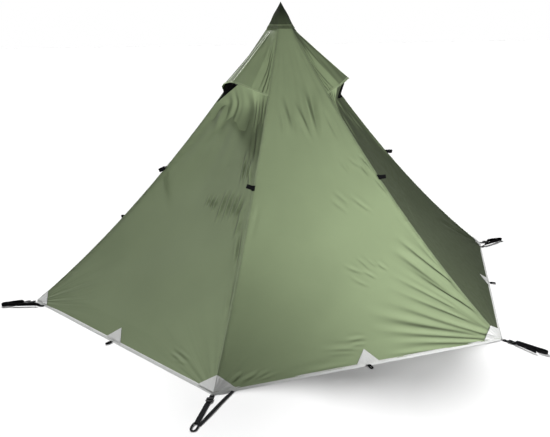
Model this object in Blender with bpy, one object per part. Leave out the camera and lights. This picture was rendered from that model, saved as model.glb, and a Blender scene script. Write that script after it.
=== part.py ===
"""Six-sided pyramid tent on one centre pole: fabric canopy with two hooded vents and a zipped door.

Metres, +Z up. The origin is on the ground at the foot of the pole, under the apex.
Corners A to F stand at 180, 240, 300, 0, 60 and 120 degrees, and face AB lies between corners A and B.
The door is in face EF, at +Y, and the vents are in faces AB and CD.
"""

import math

import bmesh
import bpy
import numpy as np

# Driving dimensions of the canopy
CORNER_RADIUS = 1.5
APEX_HEIGHT = 1.64
RIDGE_TOP_RADIUS = 0.07
RIDGE_TOP_DROP = 0.13
RIDGE_SAG = 0.108
PANEL_HOLLOW = 0.03
FABRIC_THICKNESS = 0.002
SEAM_GAP = 0.0003

# The cap over the apex, and the panel tops tucked under it
CAP_DEPTH = 0.145
CAP_WALL = 0.0022
TUCK_INSET = 0.025
TUCK_RISE = 0.04

# Hem: a binding tape on the ground, grey patches at the corners and at the middle of each side
BINDING_HEIGHT = 0.008
BINDING_THICKNESS = 0.003
CORNER_PATCH_WIDTH = 0.1
CORNER_PATCH_RISE = 0.055
SIDE_PATCH_HALF_WIDTH = 0.06
SIDE_PATCH_RISE = 0.055
PATCH_THICKNESS = 0.0012
PATCH_GAP = 0.0004

# Webbing: peg loops at the corners, loops at mid side and tie-out tabs on the ridges
WEBBING_WIDTH = 0.02
WEBBING_THICKNESS = 0.002
TAIL_WIDTH = 0.01
GROUND_CLEARANCE = 0.0005
STRAP_ROOT_WIDTH = 0.006
STRAP_ROOT_LENGTH = 0.012
BUCKLE_START = 0.029
BUCKLE_LENGTH = 0.027
BUCKLE_WIDTH = 0.03
BUCKLE_HEIGHT = 0.0055
BUCKLE_BAR = 0.0045
PEG_EYE_LENGTH = 0.044
PEG_EYE_WIDTH = 0.016
PEG_EYE_RIM = 0.008
PEG_LOOP_REACHES = (0.184, 0.266, 0.233, 0.184, 0.233, 0.266)
BRACE_START = 0.085
TAIL_REACH = 0.13
TAIL_SPREAD = 0.012
STRAP_HINGE_INSET = 0.0015
STRAP_HINGE_HEIGHT = 0.003
SIDE_LOOP_LENGTH = 0.036
SIDE_LOOP_BORDER = 0.005
RIDGE_TAB_SHARE = 0.449
RIDGE_TAB_LENGTH = 0.038
RIDGE_TAB_WIDTH = 0.026
RIDGE_TAB_BORDER = 0.006

# Vent hoods
HOOD_REACH = 0.074
HOOD_RISE = 0.0684
HOOD_EDGE_LIFT = 0.02
HOOD_START_LIFT = 0.0023
HOOD_THICKNESS = 0.0015
VENT_SILL_LIFT = 0.0024
MESH_THICKNESS = 0.0009
MESH_GAP = 0.0028
PROP_WIDTH = 0.02
PROP_THICKNESS = 0.0022
PROP_SETBACK = 0.006

# Door
DOOR_CORNER_INSET = 0.12
DOOR_TOP_HALF_WIDTH = 0.03
DOOR_CLEARANCE = 0.0004
DOOR_FLOOR_GAP = 0.002
ZIP_GAP = 0.0006
ZIP_TAPE_WIDTH = 0.012
TAPE_PROUD = 0.0006
TAPE_BACK = 0.0018
SLIDER_REST = 0.07
SLIDER_LENGTH = 0.022
SLIDER_WIDTH = 0.011
SLIDER_HEIGHT = 0.0056
PULLER_LENGTH = 0.045
PULLER_WIDTH = 0.008
PULLER_THICKNESS = 0.0018
PULLER_GAP = 0.0006

# Pole
FOOT_RADIUS = 0.018
FOOT_RIM = 0.01
FOOT_HEIGHT = 0.022
LOWER_TUBE_RADIUS = 0.0095
TUBE_WALL = 0.0012
LOWER_TUBE_TOP = 0.95
UPPER_TUBE_START = 0.62
UPPER_TUBE_DROP = 0.12
CLAMP_START = 0.6
CLAMP_HEIGHT = 0.055
CLAMP_WALL = 0.005
LEVER_GAP = 0.0005
LEVER_THICKNESS = 0.0034
LEVER_LENGTH = 0.042
LEVER_HEIGHT = 0.028
LEVER_OFFSET = 0.012
LEVER_END = 0.0018
TIP_SHOULDER = 0.018
TIP_SPIKE_RADIUS = 0.006
TIP_DROP = 0.05
CUP_SOCKET_DEPTH = 0.034
CUP_CROWN = 0.02

# Counts, angles and shares, which have no length
SIDES = 6
CORNERS = "ABCDEF"
FIRST_CORNER_DEGREES = 180
HALF_SIDE = math.radians(30)
RIDGE_ROW_SHARES = (0, 0.05, 0.1, 0.15, 0.19, 0.23, 0.3, 0.38, 0.46, 0.54, 0.62, 0.7, 0.78, 0.86, 0.93)
PANEL_COLUMN_SHARES = (0, 1 / 6, 1 / 3, 1 / 2, 2 / 3, 5 / 6, 1)
HOOD_TOP_SHARE = 0.0125
HOOD_ROW_SHARES = (0, 0.3, 0.65, 1)
HOOD_RIM_SHARE = 0.19
HOOD_CREASE_POWER = 1.35
VENT_TOP_SHARE = 0.1
VENT_SILL_SHARE = 0.23
VENT_FACES = (0, 2)
DOOR_FACE = 4
DOOR_TOP_SHARE = 0.23
TUBE_SIDES = 16
EYE_SIDES = 8
TAIL_CORNER = 2
BRACE_SIDES = (1, 1, -1, -1, -1, 1)

RIDGE_TOP_HEIGHT = APEX_HEIGHT - RIDGE_TOP_DROP
CAP_RIM_HEIGHT = APEX_HEIGHT - CAP_DEPTH
UPPER_TUBE_TOP = APEX_HEIGHT - UPPER_TUBE_DROP
TIP_TOP = APEX_HEIGHT - TIP_DROP
CUP_BASE_HEIGHT = TIP_TOP - CUP_SOCKET_DEPTH
CUP_TOP_HEIGHT = TIP_TOP + CUP_CROWN

OLIVE = (0.16, 0.21, 0.11, 1)
DARK_OLIVE = (0.06, 0.07, 0.045, 1)
PALE_GREY = (0.7, 0.7, 0.67, 1)
BLACK = (0.01, 0.01, 0.011, 1)
METAL_GREY = (0.45, 0.46, 0.47, 1)


def clear_scene():
    for thing in list(bpy.data.objects):
        bpy.data.objects.remove(thing, do_unlink=True)


def material(name, colour, roughness, metallic=0.0):
    made = bpy.data.materials.new(name)
    made.use_nodes = True
    shader = made.node_tree.nodes["Principled BSDF"]
    shader.inputs["Base Color"].default_value = colour
    shader.inputs["Roughness"].default_value = roughness
    shader.inputs["Metallic"].default_value = metallic
    return made


def add_object(name, mesh_data, finish, origin=(0, 0, 0)):
    """Turns a bmesh into an object whose origin is at the given point."""
    bmesh.ops.recalc_face_normals(mesh_data, faces=mesh_data.faces)
    bmesh.ops.translate(mesh_data, vec=[-c for c in origin], verts=mesh_data.verts)
    mesh = bpy.data.meshes.new(name)
    mesh_data.to_mesh(mesh)
    mesh_data.free()
    made = bpy.data.objects.new(name, mesh)
    made.location = origin
    bpy.context.scene.collection.objects.link(made)
    looks, colour, roughness, metallic = finish
    made.data.materials.append(material(f"{name}_{looks}", colour, roughness, metallic))
    return made


def solid_from_cells(outer, inner, missing=(), diagonal=None):
    """Closes two grids of points, outer and inner, into a sheet with a wall round each missing cell."""
    rows, columns = len(outer), len(outer[0])
    cells = {(i, j) for i in range(rows - 1) for j in range(columns - 1)} - set(missing)
    made = bmesh.new()
    corners = {}

    def corner(i, j, side):
        if (i, j, side) not in corners:
            grid = inner if side else outer
            corners[i, j, side] = made.verts.new(grid[i][j])
        return corners[i, j, side]

    def face(*points):
        made.faces.new([corner(*point) for point in points])

    for i, j in sorted(cells):
        falling = diagonal(j) if diagonal else True
        for side in (0, 1):
            a, b, c, d = (i, j, side), (i, j + 1, side), (i + 1, j + 1, side), (i + 1, j, side)
            if falling:
                face(a, b, c)
                face(a, c, d)
            else:
                face(a, b, d)
                face(b, c, d)
        for beside, start, end in (
            ((i - 1, j), (i, j), (i, j + 1)),
            ((i + 1, j), (i + 1, j), (i + 1, j + 1)),
            ((i, j - 1), (i, j), (i + 1, j)),
            ((i, j + 1), (i, j + 1), (i + 1, j + 1)),
        ):
            if beside not in cells:
                face((*start, 0), (*end, 0), (*end, 1), (*start, 1))
    return made


def solid_from_sheet(points, faces, push):
    """Thickens a sheet of flat faces by one vector for all of it."""
    made = bmesh.new()
    verts = [made.verts.new(point) for point in points]
    sheet = [made.faces.new([verts[k] for k in face]) for face in faces]
    grown = bmesh.ops.extrude_face_region(made, geom=sheet, use_keep_orig=True)
    moved = [item for item in grown["geom"] if isinstance(item, bmesh.types.BMVert)]
    bmesh.ops.translate(made, vec=push, verts=moved)
    return made


def box_in_frame(low, high, frame):
    """A box between two corners given along a frame's three directions."""
    centre, first, second, third = (np.array(v, float) for v in frame)
    base = [
        centre + first * a + second * b + third * low[2]
        for a, b in ((low[0], low[1]), (high[0], low[1]), (high[0], high[1]), (low[0], high[1]))
    ]
    return solid_from_sheet(base, [(0, 1, 2, 3)], third * (high[2] - low[2]))


def turned(profile, sides):
    """Spins a closed or axis-ended profile of (radius, height) points about the pole's axis."""
    made = bmesh.new()
    verts = [made.verts.new((radius, 0, height)) for radius, height in profile]
    edges = [made.edges.new(pair) for pair in zip(verts, verts[1:])]
    if profile[0][0] > 0 or profile[-1][0] > 0:
        edges.append(made.edges.new((verts[-1], verts[0])))
    bmesh.ops.spin(
        made,
        geom=verts + edges,
        cent=(0, 0, 0),
        axis=(0, 0, 1),
        angle=2 * math.pi,
        steps=sides,
        use_merge=True,
    )
    bmesh.ops.remove_doubles(made, verts=made.verts, dist=SEAM_GAP / 10)
    return made


def plate_with_hole(outside, inside, frame, low, high):
    """A plate with one hole, both rectangles given along the first two directions of a frame."""
    centre, first, second, third = (np.array(v, float) for v in frame)
    xs = (outside[0], inside[0], inside[1], outside[1])
    ys = (outside[2], inside[2], inside[3], outside[3])
    grids = [
        [[centre + first * x + second * y + third * level for x in xs] for y in ys]
        for level in (low, high)
    ]
    return solid_from_cells(grids[0], grids[1], missing={(1, 1)})


# The canopy's surface


def corner_direction(index):
    angle = math.radians(FIRST_CORNER_DEGREES + 360 / SIDES * index)
    return np.array((math.cos(angle), math.sin(angle), 0))


def face_frame(face):
    """(outward, sideways) of a face: sideways runs from its first corner to its second."""
    angle = math.radians(FIRST_CORNER_DEGREES + 360 / SIDES * (face + 0.5))
    outward = np.array((math.cos(angle), math.sin(angle), 0))
    sideways = np.array((-math.sin(angle), math.cos(angle), 0))
    return outward, sideways


def face_point(face, apothem, side, height):
    outward, sideways = face_frame(face)
    return outward * apothem + sideways * side + np.array((0, 0, height))


def ridge(share):
    """(radius, height) of the ridge, a hanging curve from the cap to the corner."""
    radius = RIDGE_TOP_RADIUS + (CORNER_RADIUS - RIDGE_TOP_RADIUS) * share
    height = RIDGE_TOP_HEIGHT * (1 - share) - 4 * RIDGE_SAG * share * (1 - share)
    return radius, height


SKIRT_RADIUS, SKIRT_HEIGHT = ridge(RIDGE_ROW_SHARES[-1])
SKIRT_RUN_SHARE = (CORNER_RADIUS - SKIRT_RADIUS) / SKIRT_HEIGHT
HEM_HEIGHT = BINDING_HEIGHT + SEAM_GAP
CORNER_COS = math.cos(HALF_SIDE)
HEM_APOTHEM = CORNER_RADIUS * CORNER_COS
DOOR_HEM_HALF_WIDTH = CORNER_RADIUS * math.sin(HALF_SIDE) - DOOR_CORNER_INSET


def skirt_radius(height):
    """Ridge radius on the straight skirt above the hem."""
    return CORNER_RADIUS - SKIRT_RUN_SHARE * height


RIDGE_ROWS = [(RIDGE_TOP_RADIUS - TUCK_INSET, RIDGE_TOP_HEIGHT + TUCK_RISE)]
RIDGE_ROWS += [ridge(share) for share in RIDGE_ROW_SHARES]
RIDGE_ROWS += [(skirt_radius(HEM_HEIGHT), HEM_HEIGHT)]
ROW_SHARES = (-1, *RIDGE_ROW_SHARES, 1)


def ridge_radius_at(height):
    """Radius of the ridge's straight facets at a height."""
    heights = [row[1] for row in RIDGE_ROWS]
    radii = [row[0] for row in RIDGE_ROWS]
    return float(np.interp(-height, [-h for h in heights], radii))


def hollow(share):
    """How far a panel's middle is pulled in, from nothing at the cap to nothing at the skirt."""
    inside = min(max(share / RIDGE_ROW_SHARES[-1], 0), 1)
    return PANEL_HOLLOW * math.sin(math.pi * inside)


def panel_point(face, row, column_share, inward, depth=1.0):
    """A point of a panel, pushed in towards the axis so that its side edges stay in the ridge planes."""
    radius, height = RIDGE_ROWS[row]
    apothem = radius * CORNER_COS
    side = (2 * column_share - 1) * radius * math.sin(HALF_SIDE)
    bow = 4 * column_share * (1 - column_share)
    apothem -= depth * hollow(ROW_SHARES[row]) * bow
    shrink = (apothem - inward) / apothem
    side *= shrink
    if column_share in (0, 1):
        side -= math.copysign(SEAM_GAP / 2 / CORNER_COS, side)
    return face_point(face, apothem * shrink, side, height)


def make_panel(name, face, missing=()):
    grids = [
        [
            [panel_point(face, row, share, inward) for share in PANEL_COLUMN_SHARES]
            for row in range(len(RIDGE_ROWS))
        ]
        for inward in (0, FABRIC_THICKNESS)
    ]
    middle = len(PANEL_COLUMN_SHARES) // 2
    solid = solid_from_cells(*grids, missing=missing, diagonal=lambda column: column < middle)
    return add_object(name, solid, ("silnylon", OLIVE, 0.45, 0))


def vent_cells():
    """Cells left out of a vent panel: the hole under the hood."""
    first = ROW_SHARES.index(VENT_TOP_SHARE)
    last = ROW_SHARES.index(VENT_SILL_SHARE)
    columns = range(1, len(PANEL_COLUMN_SHARES) - 2)
    return {(row, column) for row in range(first, last) for column in columns}


# The door in face EF: a flat trapezium between two fold lines, split by the zip

DOOR_TOP_ROW = ROW_SHARES.index(DOOR_TOP_SHARE)
DOOR_TOP_APOTHEM = RIDGE_ROWS[DOOR_TOP_ROW][0] * CORNER_COS
DOOR_TOP_HEIGHT = RIDGE_ROWS[DOOR_TOP_ROW][1]
DOOR_RUN = HEM_APOTHEM - DOOR_TOP_APOTHEM
DOOR_SLOPE = math.hypot(DOOR_RUN, DOOR_TOP_HEIGHT)
ZIP_EDGE = ZIP_GAP / 2
CLOTH_EDGE = ZIP_EDGE + ZIP_TAPE_WIDTH + SEAM_GAP
DOOR_TOP_CLEARANCE = DOOR_FLOOR_GAP


def door_frame():
    """Origin at the middle of the door's hem, then sideways (towards F), up the slope and outward."""
    outward, sideways = face_frame(DOOR_FACE)
    up = (outward * -DOOR_RUN + np.array((0, 0, DOOR_TOP_HEIGHT))) / DOOR_SLOPE
    normal = np.cross(up, -sideways)
    normal = normal if normal[2] > 0 else -normal
    return outward * HEM_APOTHEM, sideways, up, normal


def door_apothem(height):
    return HEM_APOTHEM - DOOR_RUN * height / DOOR_TOP_HEIGHT


def fold_side(height):
    """Half width of the door between its fold lines at a height."""
    return DOOR_HEM_HALF_WIDTH + (DOOR_TOP_HALF_WIDTH - DOOR_HEM_HALF_WIDTH) * height / DOOR_TOP_HEIGHT


def door_panel_row(row, inward):
    """Points from ridge E to ridge F: ridge, fold line, zip edge, fold line, ridge."""
    radius, height = RIDGE_ROWS[row]
    if row < DOOR_TOP_ROW:
        apothem = radius * CORNER_COS
        spread = radius / RIDGE_ROWS[DOOR_TOP_ROW][0]
        fold, edge, clearance = DOOR_TOP_HALF_WIDTH * spread, CLOTH_EDGE * spread, 0
    else:
        apothem = door_apothem(height)
        fold, edge, clearance = fold_side(height), CLOTH_EDGE, DOOR_CLEARANCE
    ridge_apothem = radius * CORNER_COS
    ridge_side = radius * math.sin(HALF_SIDE)
    shrink = (ridge_apothem - inward) / ridge_apothem
    side = ridge_side * shrink - SEAM_GAP / 2 / CORNER_COS
    return [
        face_point(DOOR_FACE, ridge_apothem * shrink, -side, height),
        face_point(DOOR_FACE, apothem - inward, -fold, height),
        face_point(DOOR_FACE, apothem - inward, -edge, height),
        face_point(DOOR_FACE, apothem - inward, fold + clearance, height),
        face_point(DOOR_FACE, ridge_apothem * shrink, side, height),
    ]


def make_door_panel():
    rows = range(len(RIDGE_ROWS))
    grids = [[door_panel_row(row, inward) for row in rows] for inward in (0, FABRIC_THICKNESS)]
    missing = {(row, 2) for row in range(DOOR_TOP_ROW, len(RIDGE_ROWS) - 1)}
    solid = solid_from_cells(*grids, missing=missing, diagonal=lambda column: column < 2)
    add_object("door_panel_fixed", solid, ("silnylon", OLIVE, 0.45, 0))


def make_door_flap():
    """The flap turns about the fold line from the door's top to the hem near corner F."""
    frame = door_frame()
    centre, sideways, up, normal = frame
    pivot = centre + sideways * DOOR_HEM_HALF_WIDTH + normal * TAPE_PROUD
    top = DOOR_SLOPE - DOOR_TOP_CLEARANCE
    bottom = DOOR_SLOPE * HEM_HEIGHT / DOOR_TOP_HEIGHT

    def fold_at(slope):
        return fold_side(DOOR_TOP_HEIGHT * slope / DOOR_SLOPE) - DOOR_CLEARANCE

    def placed(points):
        return [centre + sideways * x + up * s for x, s in points]

    cloth = [(CLOTH_EDGE, bottom), (fold_at(bottom), bottom), (fold_at(top), top), (CLOTH_EDGE, top)]
    cloth_depth = FABRIC_THICKNESS * DOOR_TOP_HEIGHT / DOOR_SLOPE
    solid = solid_from_sheet(placed(cloth), [(0, 1, 2, 3)], -normal * cloth_depth)
    add_object("door_flap", solid, ("silnylon", OLIVE, 0.45, 0), origin=tuple(pivot))

    tape_edge = CLOTH_EDGE - SEAM_GAP
    floor = DOOR_FLOOR_GAP
    strip = bottom - SEAM_GAP
    tape = [
        (ZIP_EDGE, floor),
        (tape_edge, floor),
        (fold_at(floor), floor),
        (fold_at(strip), strip),
        (tape_edge, strip),
        (tape_edge, top),
        (ZIP_EDGE, top),
        (ZIP_EDGE, strip),
    ]
    points = [point + normal * TAPE_PROUD for point in placed(tape)]
    faces = [(0, 1, 4, 7), (1, 2, 3, 4), (7, 4, 5, 6)]
    solid = solid_from_sheet(points, faces, -normal * (TAPE_PROUD + TAPE_BACK))
    add_object("door_flap_tape", solid, ("tape", PALE_GREY, 0.7, 0), origin=tuple(pivot))

    low = (-ZIP_EDGE - ZIP_TAPE_WIDTH, floor, -TAPE_BACK)
    high = (-ZIP_EDGE, top, TAPE_PROUD)
    add_object("zip_chain", box_in_frame(low, high, frame), ("zip", BLACK, 0.5, 0))


def make_zip_slider():
    frame = door_frame()
    centre, sideways, up, normal = frame
    middle = -ZIP_EDGE - ZIP_TAPE_WIDTH / 2
    base = TAPE_PROUD + SEAM_GAP
    low = (middle - SLIDER_WIDTH / 2, SLIDER_REST, base)
    high = (middle + SLIDER_WIDTH / 2, SLIDER_REST + SLIDER_LENGTH, base + SLIDER_HEIGHT)
    start = centre + sideways * middle + up * SLIDER_REST
    add_object("zip_slider", box_in_frame(low, high, frame), ("metal", METAL_GREY, 0.35, 1), origin=start)

    pivot_slope = SLIDER_REST + SLIDER_LENGTH / 2
    pivot_level = base + SLIDER_HEIGHT + PULLER_GAP + PULLER_THICKNESS / 2
    pivot = centre + sideways * middle + up * pivot_slope + normal * pivot_level
    half = PULLER_THICKNESS / 2
    low = (-PULLER_WIDTH / 2, -PULLER_LENGTH, -half)
    high = (PULLER_WIDTH / 2, half, half)
    solid = box_in_frame(low, high, (pivot, sideways, up, normal))
    add_object("zip_puller", solid, ("cord", BLACK, 0.6, 0), origin=pivot)


# Cap, cup and pole

CAP_RIM_RADIUS = ridge_radius_at(CAP_RIM_HEIGHT) + SEAM_GAP + CAP_WALL
CAP_INNER_TOP = APEX_HEIGHT - CAP_WALL * CAP_DEPTH / CAP_RIM_RADIUS


def cap_inner_radius(height):
    return (CAP_RIM_RADIUS - CAP_WALL) * (CAP_INNER_TOP - height) / (CAP_INNER_TOP - CAP_RIM_HEIGHT)


def make_cap_and_cup():
    profile = [
        (0, APEX_HEIGHT),
        (CAP_RIM_RADIUS, CAP_RIM_HEIGHT),
        (CAP_RIM_RADIUS - CAP_WALL, CAP_RIM_HEIGHT),
        (0, CAP_INNER_TOP),
    ]
    add_object("apex_cap", turned(profile, SIDES), ("coated_cloth", DARK_OLIVE, 0.6, 0))

    def cup_radius(height):
        return cap_inner_radius(height) * CORNER_COS - SEAM_GAP

    bore = TIP_SPIKE_RADIUS + SEAM_GAP
    profile = [
        (0, CUP_TOP_HEIGHT),
        (cup_radius(CUP_TOP_HEIGHT), CUP_TOP_HEIGHT),
        (cup_radius(CUP_BASE_HEIGHT), CUP_BASE_HEIGHT),
        (bore, CUP_BASE_HEIGHT),
        (bore, TIP_TOP + SEAM_GAP),
        (0, TIP_TOP + SEAM_GAP),
    ]
    add_object("pole_cup", turned(profile, TUBE_SIDES), ("rubber", BLACK, 0.8, 0))


UPPER_TUBE_BORE = LOWER_TUBE_RADIUS + SEAM_GAP
UPPER_TUBE_RADIUS = UPPER_TUBE_BORE + TUBE_WALL
CLAMP_BORE = UPPER_TUBE_RADIUS + SEAM_GAP
CLAMP_RADIUS = CLAMP_BORE + CLAMP_WALL


def ring_profile(inner, outer, low, high):
    return [(outer, high), (outer, low), (inner, low), (inner, high)]


def make_pole():
    foot = [
        (0, FOOT_HEIGHT),
        (LOWER_TUBE_RADIUS, FOOT_HEIGHT),
        (FOOT_RADIUS, FOOT_RIM),
        (FOOT_RADIUS, 0),
        (0, 0),
    ]
    aluminium = ("aluminium", METAL_GREY, 0.3, 1)
    add_object("pole_foot", turned(foot, TUBE_SIDES), ("rubber", BLACK, 0.8, 0))
    tube = ring_profile(
        LOWER_TUBE_RADIUS - TUBE_WALL, LOWER_TUBE_RADIUS, FOOT_HEIGHT + SEAM_GAP, LOWER_TUBE_TOP
    )
    add_object("pole_lower_tube", turned(tube, TUBE_SIDES), aluminium)
    tube = ring_profile(UPPER_TUBE_BORE, UPPER_TUBE_RADIUS, UPPER_TUBE_START, UPPER_TUBE_TOP)
    add_object("pole_upper_tube", turned(tube, TUBE_SIDES), aluminium)
    collar = ring_profile(CLAMP_BORE, CLAMP_RADIUS, CLAMP_START, CLAMP_START + CLAMP_HEIGHT)
    add_object("pole_clamp", turned(collar, TUBE_SIDES), ("plastic", BLACK, 0.5, 0))
    tip_base = UPPER_TUBE_TOP + SEAM_GAP
    tip = [
        (0, TIP_TOP),
        (TIP_SPIKE_RADIUS, TIP_TOP),
        (TIP_SPIKE_RADIUS, tip_base + TIP_SHOULDER),
        (UPPER_TUBE_RADIUS, tip_base + TIP_SHOULDER),
        (UPPER_TUBE_RADIUS, tip_base),
        (0, tip_base),
    ]
    add_object("pole_tip", turned(tip, TUBE_SIDES), ("plastic", BLACK, 0.5, 0))

    inner = CLAMP_RADIUS + LEVER_GAP
    pivot = (inner + LEVER_THICKNESS / 2, -LEVER_OFFSET, CLAMP_START + CLAMP_HEIGHT / 2)
    frame = ((0, 0, pivot[2]), (1, 0, 0), (0, 1, 0), (0, 0, 1))
    low = (inner, -LEVER_OFFSET - LEVER_END, -LEVER_HEIGHT / 2)
    high = (inner + LEVER_THICKNESS, LEVER_LENGTH - LEVER_OFFSET, LEVER_HEIGHT / 2)
    add_object("clamp_lever", box_in_frame(low, high, frame), ("plastic", BLACK, 0.5, 0), origin=pivot)


# Hem binding and patches


def make_hem_binding():
    """A tape on the ground from the zip round by E, D, C, B, A and F to the flap's fold line."""
    lean = skirt_radius(0) - skirt_radius(BINDING_HEIGHT)
    outside, inside = HEM_APOTHEM, HEM_APOTHEM - BINDING_THICKNESS
    top_shift = lean * CORNER_COS
    section = (
        (outside, 0),
        (inside, 0),
        (inside - top_shift, BINDING_HEIGHT),
        (outside - top_shift, BINDING_HEIGHT),
    )

    def across(side):
        return [face_point(DOOR_FACE, apothem, side, height) for apothem, height in section]

    def mitre(index):
        direction = corner_direction(index)
        return [direction * apothem / CORNER_COS + np.array((0, 0, height)) for apothem, height in section]

    zip_end = -(CLOTH_EDGE + SEAM_GAP)
    flap_end = DOOR_HEM_HALF_WIDTH + DOOR_CLEARANCE
    stations = [across(zip_end)]
    stations += [mitre(index) for index in (4, 3, 2, 1, 0, 5)]
    stations += [across(flap_end)]
    made = bmesh.new()
    rings = [[made.verts.new(point) for point in station] for station in stations]
    for ring, following in zip(rings, rings[1:]):
        for k in range(len(section)):
            after = (k + 1) % len(section)
            made.faces.new((ring[k], ring[after], following[after], following[k]))
    made.faces.new(rings[0])
    made.faces.new(rings[-1])
    add_object("hem_binding", made, ("tape", PALE_GREY, 0.7, 0))


def skirt_point(face, side, height, outward):
    """A point over a face's skirt, pushed out so that ridge points stay in the ridge plane."""
    apothem = skirt_radius(height) * CORNER_COS
    grow = (apothem + outward) / apothem
    return face_point(face, apothem * grow, side * grow, height)


def patch_hem_point(face, near_end, outward):
    """Where a corner patch ends along the hem, which stands a little further out on the door's face."""
    base_half = skirt_radius(HEM_HEIGHT) * math.sin(HALF_SIDE)
    side = near_end * (base_half - CORNER_PATCH_WIDTH)
    if face != DOOR_FACE:
        return skirt_point(face, side, HEM_HEIGHT, outward)
    share = CORNER_PATCH_WIDTH / (base_half - fold_side(HEM_HEIGHT))
    skirt_apothem = skirt_radius(HEM_HEIGHT) * CORNER_COS
    apothem = skirt_apothem + (door_apothem(HEM_HEIGHT) - skirt_apothem) * share
    grow = (apothem + outward) / apothem
    return face_point(face, apothem * grow, side * grow, HEM_HEIGHT)


def make_corner_patch(index):
    """A kite of grey cloth folded over the ridge, on the skirts of the two faces that meet there."""
    before, after = (index - 1) % SIDES, index
    base_half = skirt_radius(HEM_HEIGHT) * math.sin(HALF_SIDE)
    top_half = skirt_radius(CORNER_PATCH_RISE) * math.sin(HALF_SIDE)
    levels = []
    for outward in (PATCH_GAP + PATCH_THICKNESS, PATCH_GAP):
        levels.append(
            [
                skirt_point(after, -top_half, CORNER_PATCH_RISE, outward),
                skirt_point(after, -base_half, HEM_HEIGHT, outward),
                patch_hem_point(after, -1, outward),
                patch_hem_point(before, 1, outward),
            ]
        )
    made = bmesh.new()
    outer, inner = ([made.verts.new(point) for point in level] for level in levels)
    for level in (outer, inner):
        made.faces.new((level[0], level[1], level[2]))
        made.faces.new((level[0], level[3], level[1]))
    for start, end in ((0, 2), (2, 1), (1, 3), (3, 0)):
        made.faces.new((outer[start], outer[end], inner[end], inner[start]))
    add_object(f"corner_patch_{CORNERS[index]}", made, ("patch", PALE_GREY, 0.7, 0))


def side_name(face):
    return CORNERS[face] + CORNERS[(face + 1) % SIDES]


def make_side_patch(face):
    """A grey triangle at the middle of a side, above the loop."""
    levels = [
        [
            skirt_point(face, -SIDE_PATCH_HALF_WIDTH, HEM_HEIGHT, outward),
            skirt_point(face, SIDE_PATCH_HALF_WIDTH, HEM_HEIGHT, outward),
            skirt_point(face, 0, SIDE_PATCH_RISE, outward),
        ]
        for outward in (PATCH_GAP + PATCH_THICKNESS, PATCH_GAP)
    ]
    made = bmesh.new()
    outer, inner = ([made.verts.new(point) for point in level] for level in levels)
    made.faces.new(outer)
    made.faces.new(inner)
    for k in range(len(outer)):
        after = (k + 1) % len(outer)
        made.faces.new((outer[k], outer[after], inner[after], inner[k]))
    add_object(f"side_patch_{side_name(face)}", made, ("patch", PALE_GREY, 0.7, 0))


def make_side_loop(face):
    """A webbing loop on the ground at mid side, with an eye for a peg."""
    outward, sideways = face_frame(face)
    start = HEM_APOTHEM + SEAM_GAP
    outside = (start, start + SIDE_LOOP_LENGTH, -WEBBING_WIDTH / 2, WEBBING_WIDTH / 2)
    border = SIDE_LOOP_BORDER
    inside = (outside[0] + border, outside[1] - border, outside[2] + border, outside[3] - border)
    frame = ((0, 0, 0), outward, sideways, (0, 0, 1))
    top = GROUND_CLEARANCE + WEBBING_THICKNESS
    solid = plate_with_hole(outside, inside, frame, GROUND_CLEARANCE, top)
    add_object(f"side_loop_{side_name(face)}", solid, ("webbing", BLACK, 0.8, 0))


# Corner tie-outs: a peg loop and its ladder-lock buckle, which lift up together from the ground


def corner_frame(index):
    """Origin at the hem's corner on the ground, then outward, towards the braced side, and up."""
    outward = corner_direction(index)
    braced = np.cross((0, 0, 1), outward) * BRACE_SIDES[index]
    return outward * CORNER_RADIUS, outward, braced, np.array((0, 0, 1.0))


def strap_hinge(index):
    """A point of the line that a corner's straps lift about: beside the hem of the braced side."""
    centre, outward, braced, up = corner_frame(index)
    away = outward * CORNER_COS + braced * math.sin(HALF_SIDE)
    return centre - away * STRAP_HINGE_INSET + up * STRAP_HINGE_HEIGHT


def make_buckle(index):
    """A plate with two strap slots either side of a middle bar, on the strap."""
    centre, outward, braced, up = corner_frame(index)
    opening = (BUCKLE_LENGTH - 3 * BUCKLE_BAR) / 2
    reaches = [BUCKLE_START]
    for step in (BUCKLE_BAR, opening, BUCKLE_BAR, opening, BUCKLE_BAR):
        reaches.append(reaches[-1] + step)
    half = BUCKLE_WIDTH / 2
    widths = (-half, BUCKLE_BAR - half, half - BUCKLE_BAR, half)
    base = GROUND_CLEARANCE + WEBBING_THICKNESS + SEAM_GAP
    grids = [
        [
            [centre + outward * reach + braced * width + up * level for width in widths]
            for reach in reaches
        ]
        for level in (base, base + BUCKLE_HEIGHT)
    ]
    solid = solid_from_cells(*grids, missing={(1, 1), (3, 1)})
    origin = tuple(strap_hinge(index))
    add_object(f"corner_buckle_{CORNERS[index]}", solid, ("plastic", BLACK, 0.5, 0), origin=origin)


def peg_eye_points(reach):
    """Two rings of a stretched octagon, the outer one first."""
    middle = reach - PEG_EYE_LENGTH / 2 - PEG_EYE_RIM
    widest = math.cos(math.pi / EYE_SIDES)
    points = []
    for rim in (PEG_EYE_RIM, 0):
        long_half = (PEG_EYE_LENGTH / 2 + rim) / widest
        wide_half = (PEG_EYE_WIDTH / 2 + rim) / widest
        for k in range(EYE_SIDES):
            angle = 2 * math.pi * (k + 0.5) / EYE_SIDES
            points.append((middle + long_half * math.cos(angle), wide_half * math.sin(angle)))
    return points


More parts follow.
